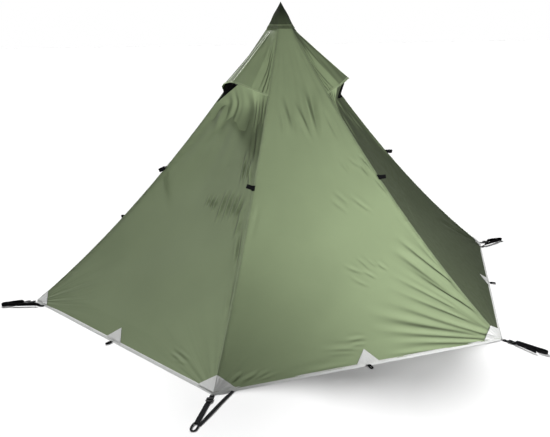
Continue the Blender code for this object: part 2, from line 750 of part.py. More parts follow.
def make_peg_loop(index):
    """A webbing strap from the corner to a peg eye, and a second, narrow band.

    The band braces the eye from the hem at every corner but C, where it is the strap's loose tail.
    """
    centre, outward, braced, up = corner_frame(index)
    points = peg_eye_points(PEG_LOOP_REACHES[index])
    faces = []
    for k in range(EYE_SIDES):
        after = (k + 1) % EYE_SIDES
        faces.append((k, after, EYE_SIDES + after, EYE_SIDES + k))
    left, right = EYE_SIDES // 2 - 1, EYE_SIDES // 2
    half, root = WEBBING_WIDTH / 2, STRAP_ROOT_WIDTH / 2
    first = len(points)
    points += [(STRAP_ROOT_LENGTH, half), (STRAP_ROOT_LENGTH, -half)]
    points += [(SEAM_GAP, root), (SEAM_GAP, -root)]
    faces.append((first, first + 1, first + 3, first + 2))
    if index == TAIL_CORNER:
        fork = BUCKLE_START + BUCKLE_LENGTH
        points += [(fork, half), (fork, -half)]
        points += [(fork + WEBBING_WIDTH, half), (fork + WEBBING_WIDTH, -half)]
        points += [(fork + TAIL_REACH, half + TAIL_SPREAD + TAIL_WIDTH), (fork + TAIL_REACH, half + TAIL_SPREAD)]
        a, b, c, d, far, near = range(first + 4, first + 10)
        faces += [(a, b, first + 1, first), (c, d, b, a), (left, right, d, c), (far, near, c, a)]
    else:
        hem = np.array((-math.sin(HALF_SIDE), math.cos(HALF_SIDE)))
        away = np.array((math.cos(HALF_SIDE), math.sin(HALF_SIDE)))
        points += [tuple(hem * BRACE_START + away * SEAM_GAP)]
        points += [tuple(hem * (BRACE_START + TAIL_WIDTH) + away * SEAM_GAP)]
        faces += [(left, right, first + 1, first), (left - 1, left, first + 4, first + 5)]
    placed = [centre + outward * x + braced * y + up * GROUND_CLEARANCE for x, y in points]
    solid = solid_from_sheet(placed, faces, up * WEBBING_THICKNESS)
    origin = tuple(strap_hinge(index))
    add_object(f"peg_loop_{CORNERS[index]}", solid, ("webbing", BLACK, 0.8, 0), origin=origin)


def make_ridge_tab(index):
    """A guy-line tab that stands out from the ridge seam, in the ridge's own plane."""
    direction = corner_direction(index)
    shares = [s for s in RIDGE_ROW_SHARES if s <= RIDGE_TAB_SHARE]
    above = ridge(shares[-1])
    below = ridge(RIDGE_ROW_SHARES[len(shares)])
    part = (RIDGE_TAB_SHARE - shares[-1]) / (RIDGE_ROW_SHARES[len(shares)] - shares[-1])
    radius = above[0] + (below[0] - above[0]) * part
    height = above[1] + (below[1] - above[1]) * part
    down = direction * (below[0] - above[0]) + np.array((0, 0, below[1] - above[1]))
    down /= np.linalg.norm(down)
    sideways = np.cross((0, 0, 1), direction)
    out = np.cross(down, sideways)
    out = out if out[2] > 0 else -out
    centre = direction * radius + np.array((0, 0, height))
    base = SEAM_GAP
    border = RIDGE_TAB_BORDER
    outside = (base, base + RIDGE_TAB_LENGTH, -RIDGE_TAB_WIDTH / 2, RIDGE_TAB_WIDTH / 2)
    inside = (outside[0] + border, outside[1] - border, outside[2] + border, outside[3] - border)
    half = WEBBING_THICKNESS / 2
    solid = plate_with_hole(outside, inside, (centre, out, down, sideways), -half, half)
    add_object(f"ridge_tab_{CORNERS[index]}", solid, ("webbing", BLACK, 0.8, 0))


# Vents. Every size is along a face's own outward and sideways directions, and near is the side of face BC


def vent_point(face, near_share, apothem_and_half, height, lift):
    """A point across a face, from 0 at its far ridge to 1 at its near one."""
    apothem, half = apothem_and_half
    near = 1 if face == VENT_FACES[0] else -1
    grow = (apothem + lift) / apothem
    return face_point(face, apothem * grow, near * (2 * near_share - 1) * half * grow, height)


def ridge_section(share):
    """((apothem, half width), height) of the canopy between its ridges, on the ridge's facets."""
    height = ridge(share)[1]
    radius = ridge_radius_at(height)
    return (radius * CORNER_COS, radius * math.sin(HALF_SIDE)), height


def hood_point(face, near_share, row_share, below=0.0):
    """A point of the hood: level with the ridges at its sides, and raised to a crease in the middle."""
    share = HOOD_TOP_SHARE + (HOOD_RIM_SHARE - HOOD_TOP_SHARE) * row_share
    section, height = ridge_section(share)
    lift = HOOD_START_LIFT + (HOOD_EDGE_LIFT - HOOD_START_LIFT) * row_share
    crease = (1 - abs(2 * near_share - 1) ** HOOD_CREASE_POWER) * row_share
    outward, _ = face_frame(face)
    point = vent_point(face, near_share, section, height, lift)
    return point + outward * (HOOD_REACH * crease - below) + np.array((0, 0, HOOD_RISE * crease - below))


def sill_point(face, near_share, lift):
    section, height = ridge_section(VENT_SILL_SHARE)
    return vent_point(face, near_share, section, height, lift)


def make_vent_hood(name, face):
    """The hood, with the gusset that closes the near half of its mouth down to the sill."""
    columns = PANEL_COLUMN_SHARES
    middle = len(columns) // 2
    made = bmesh.new()
    rows = [[made.verts.new(hood_point(face, c, r)) for c in columns] for r in HOOD_ROW_SHARES]
    for upper, lower in zip(rows, rows[1:]):
        for j in range(len(columns) - 1):
            made.faces.new((upper[j], upper[j + 1], lower[j + 1], lower[j]))
    rim = rows[-1]
    sill = [made.verts.new(sill_point(face, c, VENT_SILL_LIFT)) for c in columns]
    for j in range(middle, len(columns) - 1):
        made.faces.new((rim[j], rim[j + 1], sill[j + 1], sill[j]))
    for j in range(middle):
        made.faces.new((rim[middle], sill[j + 1], sill[j]))
    bmesh.ops.recalc_face_normals(made, faces=made.faces)
    outward, _ = face_frame(face)
    if sum(f.normal.dot(outward) for f in made.faces) < 0:
        bmesh.ops.reverse_faces(made, faces=made.faces)
    mesh = bpy.data.meshes.new(name)
    made.to_mesh(mesh)
    made.free()
    hood = bpy.data.objects.new(name, mesh)
    bpy.context.scene.collection.objects.link(hood)
    hood.data.materials.append(material(f"{name}_silnylon", OLIVE, 0.45))
    thicken = hood.modifiers.new("thickness", "SOLIDIFY")
    thicken.thickness = HOOD_THICKNESS
    thicken.offset = -1


def make_vent_mesh(name, face):
    """The insect mesh in the far half of the mouth, between the rim and the gusset's edge."""
    columns = PANEL_COLUMN_SHARES
    middle = len(columns) // 2
    tip = hood_point(face, columns[middle], 1, below=MESH_GAP)
    corner = sill_point(face, 0, VENT_SILL_LIFT)
    top = [hood_point(face, columns[j], 1, below=MESH_GAP) for j in range(middle + 1)]
    _, sideways = face_frame(face)
    far = -sideways if face == VENT_FACES[0] else sideways
    clear = far * MESH_GAP
    top[-1] = top[-1] + clear
    low = [corner + (tip - corner) * (j / middle) + clear for j in range(middle + 1)]
    low[0] = low[0] + (top[0] - low[0]) * MESH_GAP / np.linalg.norm(top[0] - low[0])
    outward, _ = face_frame(face)
    faces = [(j, j + 1, middle + 2 + j, middle + 1 + j) for j in range(middle - 1)]
    faces.append((middle - 1, middle, 2 * middle))
    points = top + low[:-1]
    solid = solid_from_sheet(points, faces, -outward * MESH_THICKNESS)
    add_object(name, solid, ("mesh", BLACK, 0.9, 0))


def make_vent_prop(name, face):
    """A stiff strip that hangs from the hood's tip to the sill, inside the gusset."""
    outward, sideways = face_frame(face)
    tip = hood_point(face, PANEL_COLUMN_SHARES[3], 1)
    sill = sill_point(face, PANEL_COLUMN_SHARES[3], VENT_SILL_LIFT)
    down = (sill - tip) / np.linalg.norm(sill - tip)
    inward = np.cross(sideways, down)
    inward = inward if inward.dot(outward) < 0 else -inward
    hang = tip + inward * PROP_SETBACK + down * PROP_SETBACK
    length = np.linalg.norm(sill - tip) - 2 * PROP_SETBACK
    half = PROP_THICKNESS / 2
    low = (-PROP_WIDTH / 2, -half, -half)
    high = (PROP_WIDTH / 2, length, half)
    solid = box_in_frame(low, high, (hang, sideways, down, inward))
    add_object(name, solid, ("stiffener", BLACK, 0.6, 0), origin=tuple(hang))


def main():
    clear_scene()
    make_panel("panel_vent_left", 0, vent_cells())
    make_panel("panel_front", 1)
    make_panel("panel_vent_right", 2, vent_cells())
    make_panel("panel_side_right", 3)
    make_panel("panel_side_left", 5)
    make_door_panel()
    make_door_flap()
    make_zip_slider()
    make_cap_and_cup()
    make_pole()
    make_hem_binding()
    for index in range(SIDES):
        make_corner_patch(index)
        make_buckle(index)
        make_peg_loop(index)
        make_ridge_tab(index)
    for face in range(SIDES):
        if face != DOOR_FACE:
            make_side_patch(face)
            make_side_loop(face)
    for word, face in zip(("left", "right"), VENT_FACES):
        make_vent_hood(f"vent_hood_{word}", face)
        make_vent_mesh(f"vent_mesh_{word}", face)
        make_vent_prop(f"vent_prop_{word}", face)


main()
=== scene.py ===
"""Six-sided pyramid tent on one centre pole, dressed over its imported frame. Metres, +Z up, door at +Y."""

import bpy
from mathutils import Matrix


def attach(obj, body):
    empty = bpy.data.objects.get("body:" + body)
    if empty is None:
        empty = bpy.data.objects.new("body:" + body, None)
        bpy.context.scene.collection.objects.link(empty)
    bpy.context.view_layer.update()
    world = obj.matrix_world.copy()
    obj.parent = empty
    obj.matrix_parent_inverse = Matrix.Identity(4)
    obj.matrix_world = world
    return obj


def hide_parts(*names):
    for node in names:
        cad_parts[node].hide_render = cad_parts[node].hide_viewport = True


bl_info = {
    "name": "Pyramid tent",
    "version": (1, 0, 0),
    "blender": (4, 5, 0),
    "location": "View3D > Sidebar > Tent",
    "description": "Builds a six-sided pyramid tent: cloth, seams, webbing, vents, door and pole",
    "category": "Object",
}

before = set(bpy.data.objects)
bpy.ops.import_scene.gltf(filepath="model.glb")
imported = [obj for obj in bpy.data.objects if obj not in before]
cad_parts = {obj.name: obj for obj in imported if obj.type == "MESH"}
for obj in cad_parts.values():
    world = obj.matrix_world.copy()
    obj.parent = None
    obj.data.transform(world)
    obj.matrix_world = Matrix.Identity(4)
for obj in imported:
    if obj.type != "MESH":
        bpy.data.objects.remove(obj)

from math import cos, hypot, pi, radians, sin

import bpy
import numpy as np
from mathutils import Matrix, Vector

# Faces are numbered from 0 at the left, and the rows of cloth are the same on each.
PANEL_ROWS = 205
PANEL_NODES = {
    0: "panel_vent_left",
    1: "panel_front",
    2: "panel_vent_right",
    3: "panel_side_right",
    5: "panel_side_left",
}
CORNERS = "ABCDEF"
SIDE_LOOPS = {0: "AB", 1: "BC", 2: "CD", 3: "DE", 5: "FA"}
VENTS = {0: "left", 2: "right"}
DOOR_FACE = 4
# Where each vent's mouth leaves the sill and where it meets the rim, as shares across the hood.
MOUTHS = {0: (0.02, 0.6), 2: (0.45, 0.6)}
# Streaks on the cloth below a rim: place across the hood, half width, height and slant.
HOOD_STREAKS = (
    (0.37, 0.05, 0.005, -0.03),
    (0.49, 0.028, 0.003, -0.04),
    (0.66, 0.08, -0.006, 0.0),
    (0.82, 0.014, 0.004, 0.02),
    (0.89, 0.012, -0.003, 0.03),
    (0.94, 0.012, 0.004, 0.02),
)
UP = np.array((0.0, 0.0, 1.0))
COS30 = cos(radians(30))
# Radius of the ridges' upper ends, how far they stand below the apex, their height, and the ridges' sag.
TOP_RADIUS = 0.07
TOP_DROP = 0.13
TOP_HEIGHT = 1.51
SAG = 0.432
# Length up the cloth for each metre of height, and half of a face's hem.
RISE = 1.45
HALF_SIDE = 0.75
SKIRT = 0.93
HEM_HEIGHT = 0.0075
TAB_SHARE = 0.449
STRAP_REACHES = (0.184, 0.266, 0.233, 0.184, 0.233, 0.266)
BRACE_SIDES = (1, 1, -1, -1, -1, 1)
DOOR_TOP_SHARE = 0.23
DOOR_HALF = 0.63
DOOR_TOP_HALF = 0.03
ZIP_EDGE = 0.0003
ZIP_TAPE = 0.012
ZIP_MIDDLE = ZIP_EDGE + ZIP_TAPE / 2
ZIP_PITCH = 0.0032
TAPE_THICKNESS = 0.0018
# Shares down the ridge between which a hood stands, and the row of its rim.
HOOD_TOP = 0.0125
HOOD_FOOT = 0.19
HOOD_RIM = 0.985
# Height of the patches' lower edge and of their points, and the way the cloth faces there.
PATCH_BOTTOM = 0.0085
PATCH_TOP = 0.056
PATCH_OUT = 0.67
PATCH_UP = 0.74
MAIN_WEB = 0.021
SECOND_WEB = 0.0145
# Section of a felled seam, sideways and outward.
SEAM_SECTION = (
    (-0.0055, -0.0026),
    (-0.003, -0.0004),
    (0, 0.0011),
    (0.003, -0.0004),
    (0.0055, -0.0026),
    (0, -0.0022),
)
# Width of the camera's sensor in millimetres, and of its picture in pixels.
SENSOR = 36
PICTURE_WIDTH = 550
FLOOR_GLOW = 0.06
WORLD_LIGHT = 0.11
# Lamps: name, kind, place, aim, power, width or angle, and spread in degrees.
LAMPS = (
    ("key", "AREA", (1.0, -4.1, 0.5), (0.34, -0.9, 0.44), 9.8, 0.8, 43),
    ("fill", "AREA", (-3.3, -1.2, 2.1), (-0.35, -0.15, 1.35), 4.8, 2.4, 72),
    ("back", "SUN", (-0.6, 4.96, 4.55), (0, 0, 0), 4.0, radians(10), 180),
    ("side", "SUN", (2.1, 4.53, 4.3), (0, 0, 0), 0.8, radians(8), 180),
)

# Pull folds: face, sideways and height of each end, half width and depth.
# The second end is the one pulled on.
FOLDS = (
    (1, 0.315, 0.41, 0.68, 0.11, 0.021, 0.011),
    (1, 0.357, 0.455, 0.62, 0.22, 0.014, 0.006),
    (1, 0.30, 0.37, 0.60, 0.165, 0.014, 0.005),
    (1, 0.18, 0.205, 0.72, 0.016, 0.018, 0.010),
    (1, 0.08, 0.178, 0.70, 0.012, 0.020, 0.009),
    (1, 0.07, 0.118, 0.69, 0.008, 0.015, 0.007),
    (1, 0.14, 0.063, 0.66, 0.006, 0.012, 0.006),
    (1, 0.09, 0.026, 0.42, 0.006, 0.009, 0.004),
    (1, 0.25, 0.31, 0.56, 0.14, 0.012, 0.004),
    (1, 0.22, 0.26, 0.60, 0.09, 0.012, 0.004),
    (1, 0.02, 0.368, 0.125, 0.316, 0.009, 0.004),
    (1, 0.112, 0.388, 0.17, 0.322, 0.008, 0.003),
    (1, 0.118, 0.333, 0.188, 0.29, 0.008, 0.004),
    (1, 0.21, 0.356, 0.26, 0.314, 0.008, 0.003),
    (1, 0.04, 0.32, 0.135, 0.262, 0.009, 0.003),
    (1, 0.16, 0.372, 0.21, 0.335, 0.007, 0.002),
    (1, -0.22, 0.079, -0.005, 0.058, 0.010, 0.005),
    (1, -0.08, 0.094, 0.035, 0.09, 0.008, 0.004),
    (1, -0.20, 0.06, -0.03, 0.046, 0.008, 0.003),
    (1, -0.075, 0.078, 0.025, 0.07, 0.007, 0.003),
    (1, -0.42, 0.018, -0.065, 0.017, 0.010, 0.004),
    (1, -0.66, 0.026, -0.587, 0.056, 0.007, 0.008),
    (1, -0.63, 0.019, -0.511, 0.049, 0.007, 0.008),
    (1, -0.58, 0.02, -0.47, 0.043, 0.007, 0.006),
    (1, -0.60, 0.012, -0.42, 0.032, 0.006, 0.004),
    (1, -0.66, 0.18, -0.69, 0.06, 0.009, 0.008),
    (1, 0.283, 0.838, 0.347, 0.746, 0.008, 0.008),
    (1, 0.262, 0.82, 0.31, 0.727, 0.009, 0.006),
    (1, 0.205, 0.832, 0.285, 0.765, 0.009, 0.003),
    (1, 0.162, 0.82, 0.205, 0.749, 0.009, 0.003),
    (1, 0.36, 0.70, 0.40, 0.625, 0.009, 0.006),
    (1, 0.33, 0.735, 0.372, 0.66, 0.008, 0.004),
    (1, 0.053, 0.644, 0.135, 0.572, 0.009, 0.003),
    (1, 0.161, 0.654, 0.278, 0.562, 0.009, 0.004),
    (1, 0.082, 0.68, 0.155, 0.61, 0.009, 0.003),
    (1, -0.075, 1.18, -0.055, 0.95, 0.014, 0.009),
    (1, -0.045, 1.14, 0.035, 0.905, 0.012, -0.008),
    (1, 0.085, 1.19, 0.075, 0.92, 0.014, 0.010),
    (1, 0.035, 1.19, 0.05, 0.98, 0.012, -0.007),
    (1, 0.13, 1.08, 0.185, 0.90, 0.012, 0.006),
    (1, -0.10, 1.12, -0.13, 0.93, 0.012, 0.004),
    (1, 0.40, 0.60, 0.655, 0.155, 0.012, -0.005),
    (1, -0.34, 0.67, -0.42, 0.51, 0.012, 0.004),
    (0, 0.177, 0.885, 0.25, 0.715, 0.008, -0.007),
    (0, 0.213, 0.885, 0.331, 0.71, 0.007, -0.008),
    (0, 0.205, 0.93, 0.295, 0.72, 0.009, 0.007),
    (0, 0.14, 1.03, 0.27, 0.83, 0.010, 0.007),
    (0, 0.058, 0.656, 0.063, 0.59, 0.007, -0.004),
    (0, 0.09, 0.655, 0.097, 0.585, 0.006, -0.004),
    (0, 0.12, 0.65, 0.13, 0.58, 0.007, -0.005),
    (0, 0.168, 0.69, 0.199, 0.535, 0.0075, -0.005),
    (0, 0.212, 0.70, 0.243, 0.545, 0.0075, -0.005),
    (0, 0.256, 0.70, 0.281, 0.56, 0.0075, -0.005),
    (0, 0.299, 0.69, 0.315, 0.575, 0.0075, -0.005),
    (0, 0.34, 0.67, 0.35, 0.565, 0.0075, -0.005),
    (0, 0.352, 0.63, 0.38, 0.50, 0.009, -0.006),
    (0, 0.385, 0.58, 0.487, 0.395, 0.010, 0.007),
    (0, 0.50, 0.38, 0.60, 0.22, 0.010, 0.006),
    (0, -0.113, 1.12, -0.125, 0.92, 0.022, -0.010),
    (0, -0.02, 1.09, 0.10, 0.93, 0.04, 0.012),
    (0, 0.387, 0.056, 0.498, 0.048, 0.006, -0.0025),
    (0, 0.377, 0.076, 0.541, 0.06, 0.006, -0.0025),
    (0, 0.44, 0.041, 0.53, 0.047, 0.006, -0.002),
    (0, -0.66, 0.15, -0.60, 0.225, 0.010, 0.003),
    (2, 0.03, 0.56, -0.33, 0.43, 0.014, 0.003),
    (2, 0.30, 0.30, 0.70, 0.02, 0.02, 0.006),
    (2, 0.45, 0.36, 0.70, 0.05, 0.014, 0.004),
    (2, 0.10, 1.06, 0.20, 0.85, 0.014, 0.005),
    (2, -0.05, 1.06, -0.12, 0.85, 0.014, 0.005),
)

# How strongly the folds of each listed face show.
FACE_FOLDS = {0: 1.0, 1: 0.95, 2: 1.0}

# How each ridge tab hangs: turned down from straight out, and aside towards the next face, in degrees.
TAB_DROOPS = {"A": (62, 10), "B": (-8, -72), "C": (28, 30), "D": (45, -12), "E": (30, 12), "F": (50, -15)}

# How far each corner strap's bands turn onto their edge, in degrees.
STRAP_TWISTS = {"A": 78, "B": 12, "C": 70, "D": 82, "E": 60, "F": 66}


# The canopy's surface


def tent_sizes():
    return bpy.context.scene.tent_sizes


def unit(rows):
    """Each row of a table of directions, made one long."""
    return rows / np.linalg.norm(rows, axis=1)[:, None]


def corner_direction(index):
    angle = radians(180 + 60 * index)
    return np.array((cos(angle), sin(angle), 0.0))


def face_axes(face):
    """Straight out from a face, and sideways along it."""
    angle = radians(210 + 60 * face)
    outward = np.array((cos(angle), sin(angle), 0.0))
    sideways = np.array((-sin(angle), cos(angle), 0.0))
    return outward, sideways


def ridge(share):
    """(radius, height) of a ridge, from the cap at 0 to the hem at 1."""
    sizes = tent_sizes()
    radius = TOP_RADIUS + (sizes.corner_radius - TOP_RADIUS) * share
    height = (sizes.apex_height - TOP_DROP) * (1 - share) - SAG * share * (1 - share)
    return radius, height


def share_at(height):
    shares = np.linspace(-0.05, 1, 2001)
    return np.interp(-height, -ridge(shares)[1], shares)


def smooth(value, low, high):
    part = np.clip((value - low) / (high - low), 0, 1)
    return part * part * (3 - 2 * part)


def fold_relief(face, side, height, half):
    """Height of the pulled folds above the plain cloth, on a face's sideways and height coordinates."""
    strength = tent_sizes().fold_strength
    rise = height * RISE
    relief = np.zeros_like(side)
    for number, x1, z1, x2, z2, width, depth in FOLDS:
        if number != face:
            continue
        start, end = np.array((x1, z1 * RISE)), np.array((x2, z2 * RISE))
        run = end - start
        length = np.hypot(*run)
        along = ((side - start[0]) * run[0] + (rise - start[1]) * run[1]) / length**2
        across = ((side - start[0]) * run[1] - (rise - start[1]) * run[0]) / length
        across = across + 0.12 * width * np.sin(along * 7 + x1 * 40)
        pinned = length > 0.3 and max(abs(x1), abs(x2)) > 0.55
        narrowing = 0.75 if pinned else 0.3
        spread = width * (1.2 - narrowing * np.clip(along, 0, 1))
        valley = -np.exp(-((across / spread) ** 2))
        lips = 0.42 * np.exp(-(((np.abs(across) - 2.1 * spread) / (1.2 * spread)) ** 2))
        lead = 0.55 + 0.2 * np.sin(x1 * 90 + z1 * 50)
        last = (-1.04, -0.86) if pinned else (-1.05, -0.5)
        ends = smooth(along, -0.05, lead) * smooth(-along, *last)
        relief += depth * FACE_FOLDS[face] * (valley + lips) * ends
    for sign in (-1, 1):
        corner_x = sign * HALF_SIDE
        reach = np.hypot(side - corner_x, rise)
        angle = np.arctan2(rise, (corner_x - side) * sign)
        waves = np.sin(angle * 17 + face * 2.1 + sign)
        waves += 0.7 * np.sin(angle * 29 + face + 2 * sign + reach * 3)
        relief += 0.0011 * waves * np.exp(-reach / 0.3) * smooth(reach, 0.02, 0.14)
    turn = side / np.maximum(half, 0.02)
    fan = np.sin(turn * 9 + face * 1.7) + 0.6 * np.sin(turn * 17 + face * 3.1)
    relief += 0.0017 * fan * smooth(height, 0.55, 0.95) * (1 - smooth(height, 1.25, 1.45))
    drift = np.sin(side * 7.3 + face * 1.3 + rise * 2.1) * np.sin(rise * 5.2 + face * 2.7 - side * 1.9)
    drift += 0.5 * np.sin(side * 13.1 - rise * 4.3 + face) * np.sin(rise * 10.7 + side * 3.7 + 2 * face)
    relief += 0.0035 * drift * smooth(rise, 0.05, 0.4) * (1 - smooth(height, 1.0, 1.3))
    edge = half - np.abs(side)
    return relief * strength * smooth(edge, 0.0, 0.035)


def seam_pucker(edge, rise):
    """Small gathers along a ridge seam."""
    wave = np.sin(rise * 95) + 0.8 * np.sin(rise * 61 + 1.3) + 0.5 * np.sin(rise * 143 + 0.4)
    return 0.0006 * wave * np.exp(-edge / 0.022) * smooth(edge, 0.0, 0.006)


def canopy_point(face, column, share, lift=0.0, folds=True):
    """Points of the cloth, from 0 at a face's left ridge to 1 at its right one, with the seam distance."""
    column, share = np.broadcast_arrays(np.asarray(column, float), np.asarray(share, float))
    outward, sideways = face_axes(face)
    radius, height = ridge(share)
    half = radius / 2
    side = (2 * column - 1) * half
    bow = 4 * column * (1 - column)
    hollow = 0.03 * np.sin(np.pi * np.clip(share / SKIRT, 0, 1)) * bow
    apothem = radius * COS30 - hollow
    slope_out = tent_sizes().corner_radius * COS30
    slope_up = -(TOP_HEIGHT + SAG * (1 - 2 * share))
    size = np.hypot(slope_out, slope_up)
    push = np.full_like(side, float(lift))
    if folds:
        push = push + fold_relief(face, side, height, half)
        push = push + seam_pucker(half - np.abs(side), height * RISE)
    apothem = apothem - push * slope_up / size
    top = height + push * slope_out / size
    points = apothem[..., None] * outward + side[..., None] * sideways + top[..., None] * UP
    return points, half - np.abs(side)


def door_apothem(height):
    top_radius, top_height = ridge(DOOR_TOP_SHARE)
    low = ridge(1)[0] * COS30
    return low - (low - top_radius * COS30) * height / top_height


def fold_line(height):
    return DOOR_HALF + (DOOR_TOP_HALF - DOOR_HALF) * np.minimum(height / ridge(DOOR_TOP_SHARE)[1], 1)


def door_frame():
    """Middle of the door's hem, then sideways, up the slope and outward."""
    outward, sideways = face_axes(DOOR_FACE)
    top_radius, top_height = ridge(DOOR_TOP_SHARE)
    run = ridge(1)[0] * COS30 - top_radius * COS30
    slope = hypot(run, top_height)
    up = (outward * -run + UP * top_height) / slope
    normal = (outward * top_height + UP * run) / slope
    return outward * ridge(1)[0] * COS30, sideways, up, normal, slope


# Meshes


def deselect():
    if bpy.context.object and bpy.context.object.mode != "OBJECT":
        bpy.ops.object.mode_set(mode="OBJECT")
    bpy.ops.object.select_all(action="DESELECT")


def choose(piece):
    deselect()
    piece.select_set(True)
    bpy.context.view_layer.objects.active = piece


def new_piece(points, faces, uvs, seam=None):
    """An object from points and faces, with one UV pair for each corner of each face."""
    mesh = bpy.data.meshes.new("piece")
    mesh.from_pydata([tuple(p) for p in points], [], [tuple(int(i) for i in f) for f in faces])
    layer = mesh.uv_layers.new(name="UVMap")
    layer.data.foreach_set("uv", np.asarray(uvs, np.float32).ravel())
    if seam is not None:
        values = mesh.attributes.new("seam", "FLOAT", "POINT").data
        values.foreach_set("value", np.asarray(seam, np.float32).ravel())
    made = bpy.data.objects.new("piece", mesh)
    bpy.context.scene.collection.objects.link(made)
    return made


def apply_modifier(piece, name, kind, **settings):
    choose(piece)
    modifier = piece.modifiers.new(name, kind)
    for key, value in settings.items():
        setattr(modifier, key, value)
    bpy.ops.object.modifier_apply(modifier=modifier.name)


def shade_smooth(piece, degrees):
    choose(piece)
    bpy.ops.object.shade_smooth_by_angle(angle=radians(degrees))


def tidy_shell(piece, merge=0.0, turn=True):
    """Merges points that lie close together, and turns the faces outward."""
    choose(piece)
    bpy.ops.object.mode_set(mode="EDIT")
    bpy.ops.mesh.select_all(action="SELECT")
    if merge:
        bpy.ops.mesh.remove_doubles(threshold=merge)
    if turn:
        bpy.ops.mesh.normals_make_consistent(inside=False)
    bpy.ops.object.mode_set(mode="OBJECT")


def cloth(grids, thickness, toward=UP, hole=None):
    """A sheet from one or more grids of (points, uv, seam), merged where they meet and given a thickness."""
    points, faces, uvs, seams, start = [], [], [], [], 0
    for grid, uv, seam in grids:
        rows, columns = grid.shape[:2]
        index = np.arange(rows * columns).reshape(rows, columns) + start
        quads = np.stack([index[:-1, :-1], index[1:, :-1], index[1:, 1:], index[:-1, 1:]], -1).reshape(-1, 4)
        if hole is not None:
            quads = quads[~hole.reshape(-1)]
        flat = uv.reshape(-1, 2)
        uvs.append(flat[quads - start].reshape(-1, 2))
        points.append(grid.reshape(-1, 3))
        seams.append(seam.reshape(-1))
        faces.append(quads)
        start += rows * columns
    points, faces = np.concatenate(points), np.concatenate(faces)
    used = np.unique(faces)
    renumber = np.zeros(len(points), int)
    renumber[used] = np.arange(len(used))
    made = new_piece(points[used], renumber[faces], np.concatenate(uvs), np.concatenate(seams)[used])
    if len(grids) > 1:
        tidy_shell(made, 0.00005, turn=False)
    area = sum(p.area for p in made.data.polygons)
    facing = sum(p.area * float(np.dot(p.normal, toward)) for p in made.data.polygons)
    if facing < 0:
        made.data.flip_normals()
    apply_modifier(made, "thickness", "SOLIDIFY", thickness=thickness, offset=-1)
    shade_smooth(made, 50)
    made["flat_area"] = area
    return made


def lengths_along(points):
    """Length along a line of points, from 0 at its first."""
    steps = np.linalg.norm(np.diff(points, axis=0), axis=1)
    return np.concatenate([[0], np.cumsum(steps)])


def point_along(reach, along, points):
    """The point of a line at a length along it."""
    return np.array([np.interp(reach, along, points[:, k]) for k in range(3)])


def loft(rings, closed=False):
    """A skin over rings of points, with UV in metres: across the ring, then along the path."""
    rings = np.asarray(rings, float)
    count, around = rings.shape[:2]
    middle = rings.mean(1)
    along = lengths_along(np.vstack([middle, middle[:1]]))
    across = lengths_along(np.vstack([rings[0], rings[0][:1]]))
    faces, uvs = [], []
    for i in range(count if closed else count - 1):
        after = (i + 1) % count
        for j in range(around):
            beside = (j + 1) % around
            faces.append((i * around + j, i * around + beside, after * around + beside, after * around + j))
            uvs += [(across[j], along[i]), (across[j + 1], along[i])]
            uvs += [(across[j + 1], along[i + 1]), (across[j], along[i + 1])]
    if not closed:
        for i in (0, count - 1):
            faces.append(tuple(range(i * around, (i + 1) * around)))
            uvs += [(across[j], along[i]) for j in range(around)]
    made = new_piece(rings.reshape(-1, 3), faces, uvs)
    tidy_shell(made)
    shade_smooth(made, 40)
    return made


def band(path, widthways, width, thickness, closed=False):
    """A strap along a path: widthways is a direction for each point, and the strap's edges are rounded."""
    path, widthways = np.asarray(path, float), np.asarray(widthways, float)
    ahead = np.gradient(path, axis=0)
    if closed:
        ahead = np.roll(path, -1, axis=0) - np.roll(path, 1, axis=0)
    widthways = unit(widthways)
    thick = np.cross(unit(ahead), widthways)
    half, deep = width / 2, thickness / 2
    round_by = min(half, deep) * 0.7
    section = (
        (-half, -deep + round_by),
        (-half + round_by, -deep),
        (half - round_by, -deep),
        (half, -deep + round_by),
        (half, deep - round_by),
        (half - round_by, deep),
        (-half + round_by, deep),
        (-half, deep - round_by),
    )
    rings = [[p + w * a + t * b for a, b in section] for p, w, t in zip(path, widthways, thick)]
    return loft(rings, closed)


def join(pieces):
    deselect()
    for piece in pieces:
        piece.select_set(True)
    bpy.context.view_layer.objects.active = pieces[0]
    if len(pieces) > 1:
        bpy.ops.object.join()
    return pieces[0]


def block(size, centre, bevel=0.0, segments=3):
    """A box with rounded edges, added and finished as by hand."""
    deselect()
    bpy.ops.mesh.primitive_cube_add(size=1, location=centre)
    made = bpy.context.object
    made.scale = size
    bpy.ops.object.transform_apply(location=True, rotation=False, scale=True)
    if bevel:
        apply_modifier(made, "rounding", "BEVEL", width=bevel, segments=segments)
    return made


def turned(profile, sides=40, tube=False):
    """A piece turned on the pole's axis: a ring that is extruded and resized along its profile."""
    deselect()
    radius, height = profile[0]
    bpy.ops.mesh.primitive_circle_add(vertices=sides, radius=radius, location=(0, 0, height))
    made = bpy.context.object
    bpy.ops.object.mode_set(mode="EDIT")
    bpy.ops.mesh.select_all(action="SELECT")
    if not tube:
        bpy.ops.mesh.edge_face_add()
    for following, level in profile[1:]:
        bpy.ops.mesh.extrude_region_move(TRANSFORM_OT_translate={"value": (0, 0, level - height)})
        factor = following / radius
        bpy.ops.transform.resize(value=(factor, factor, 1))
        radius, height = following, level
    if tube:
        bpy.ops.mesh.select_all(action="SELECT")
        bpy.ops.mesh.remove_doubles(threshold=0.00001)
    bpy.ops.mesh.select_all(action="SELECT")
    bpy.ops.mesh.normals_make_consistent(inside=False)
    bpy.ops.object.mode_set(mode="OBJECT")
    bpy.ops.object.transform_apply(location=True, rotation=True, scale=True)
    shade_smooth(made, 35)
    return made


def placed(piece, origin, first, second, third):
    """Moves a mesh made at the origin to a place with three directions."""
    matrix = Matrix.Identity(4)
    for column, direction in enumerate((first, second, third, origin)):
        for row in range(3):
            matrix[row][column] = float(direction[row])
    piece.data.transform(matrix)
    return piece


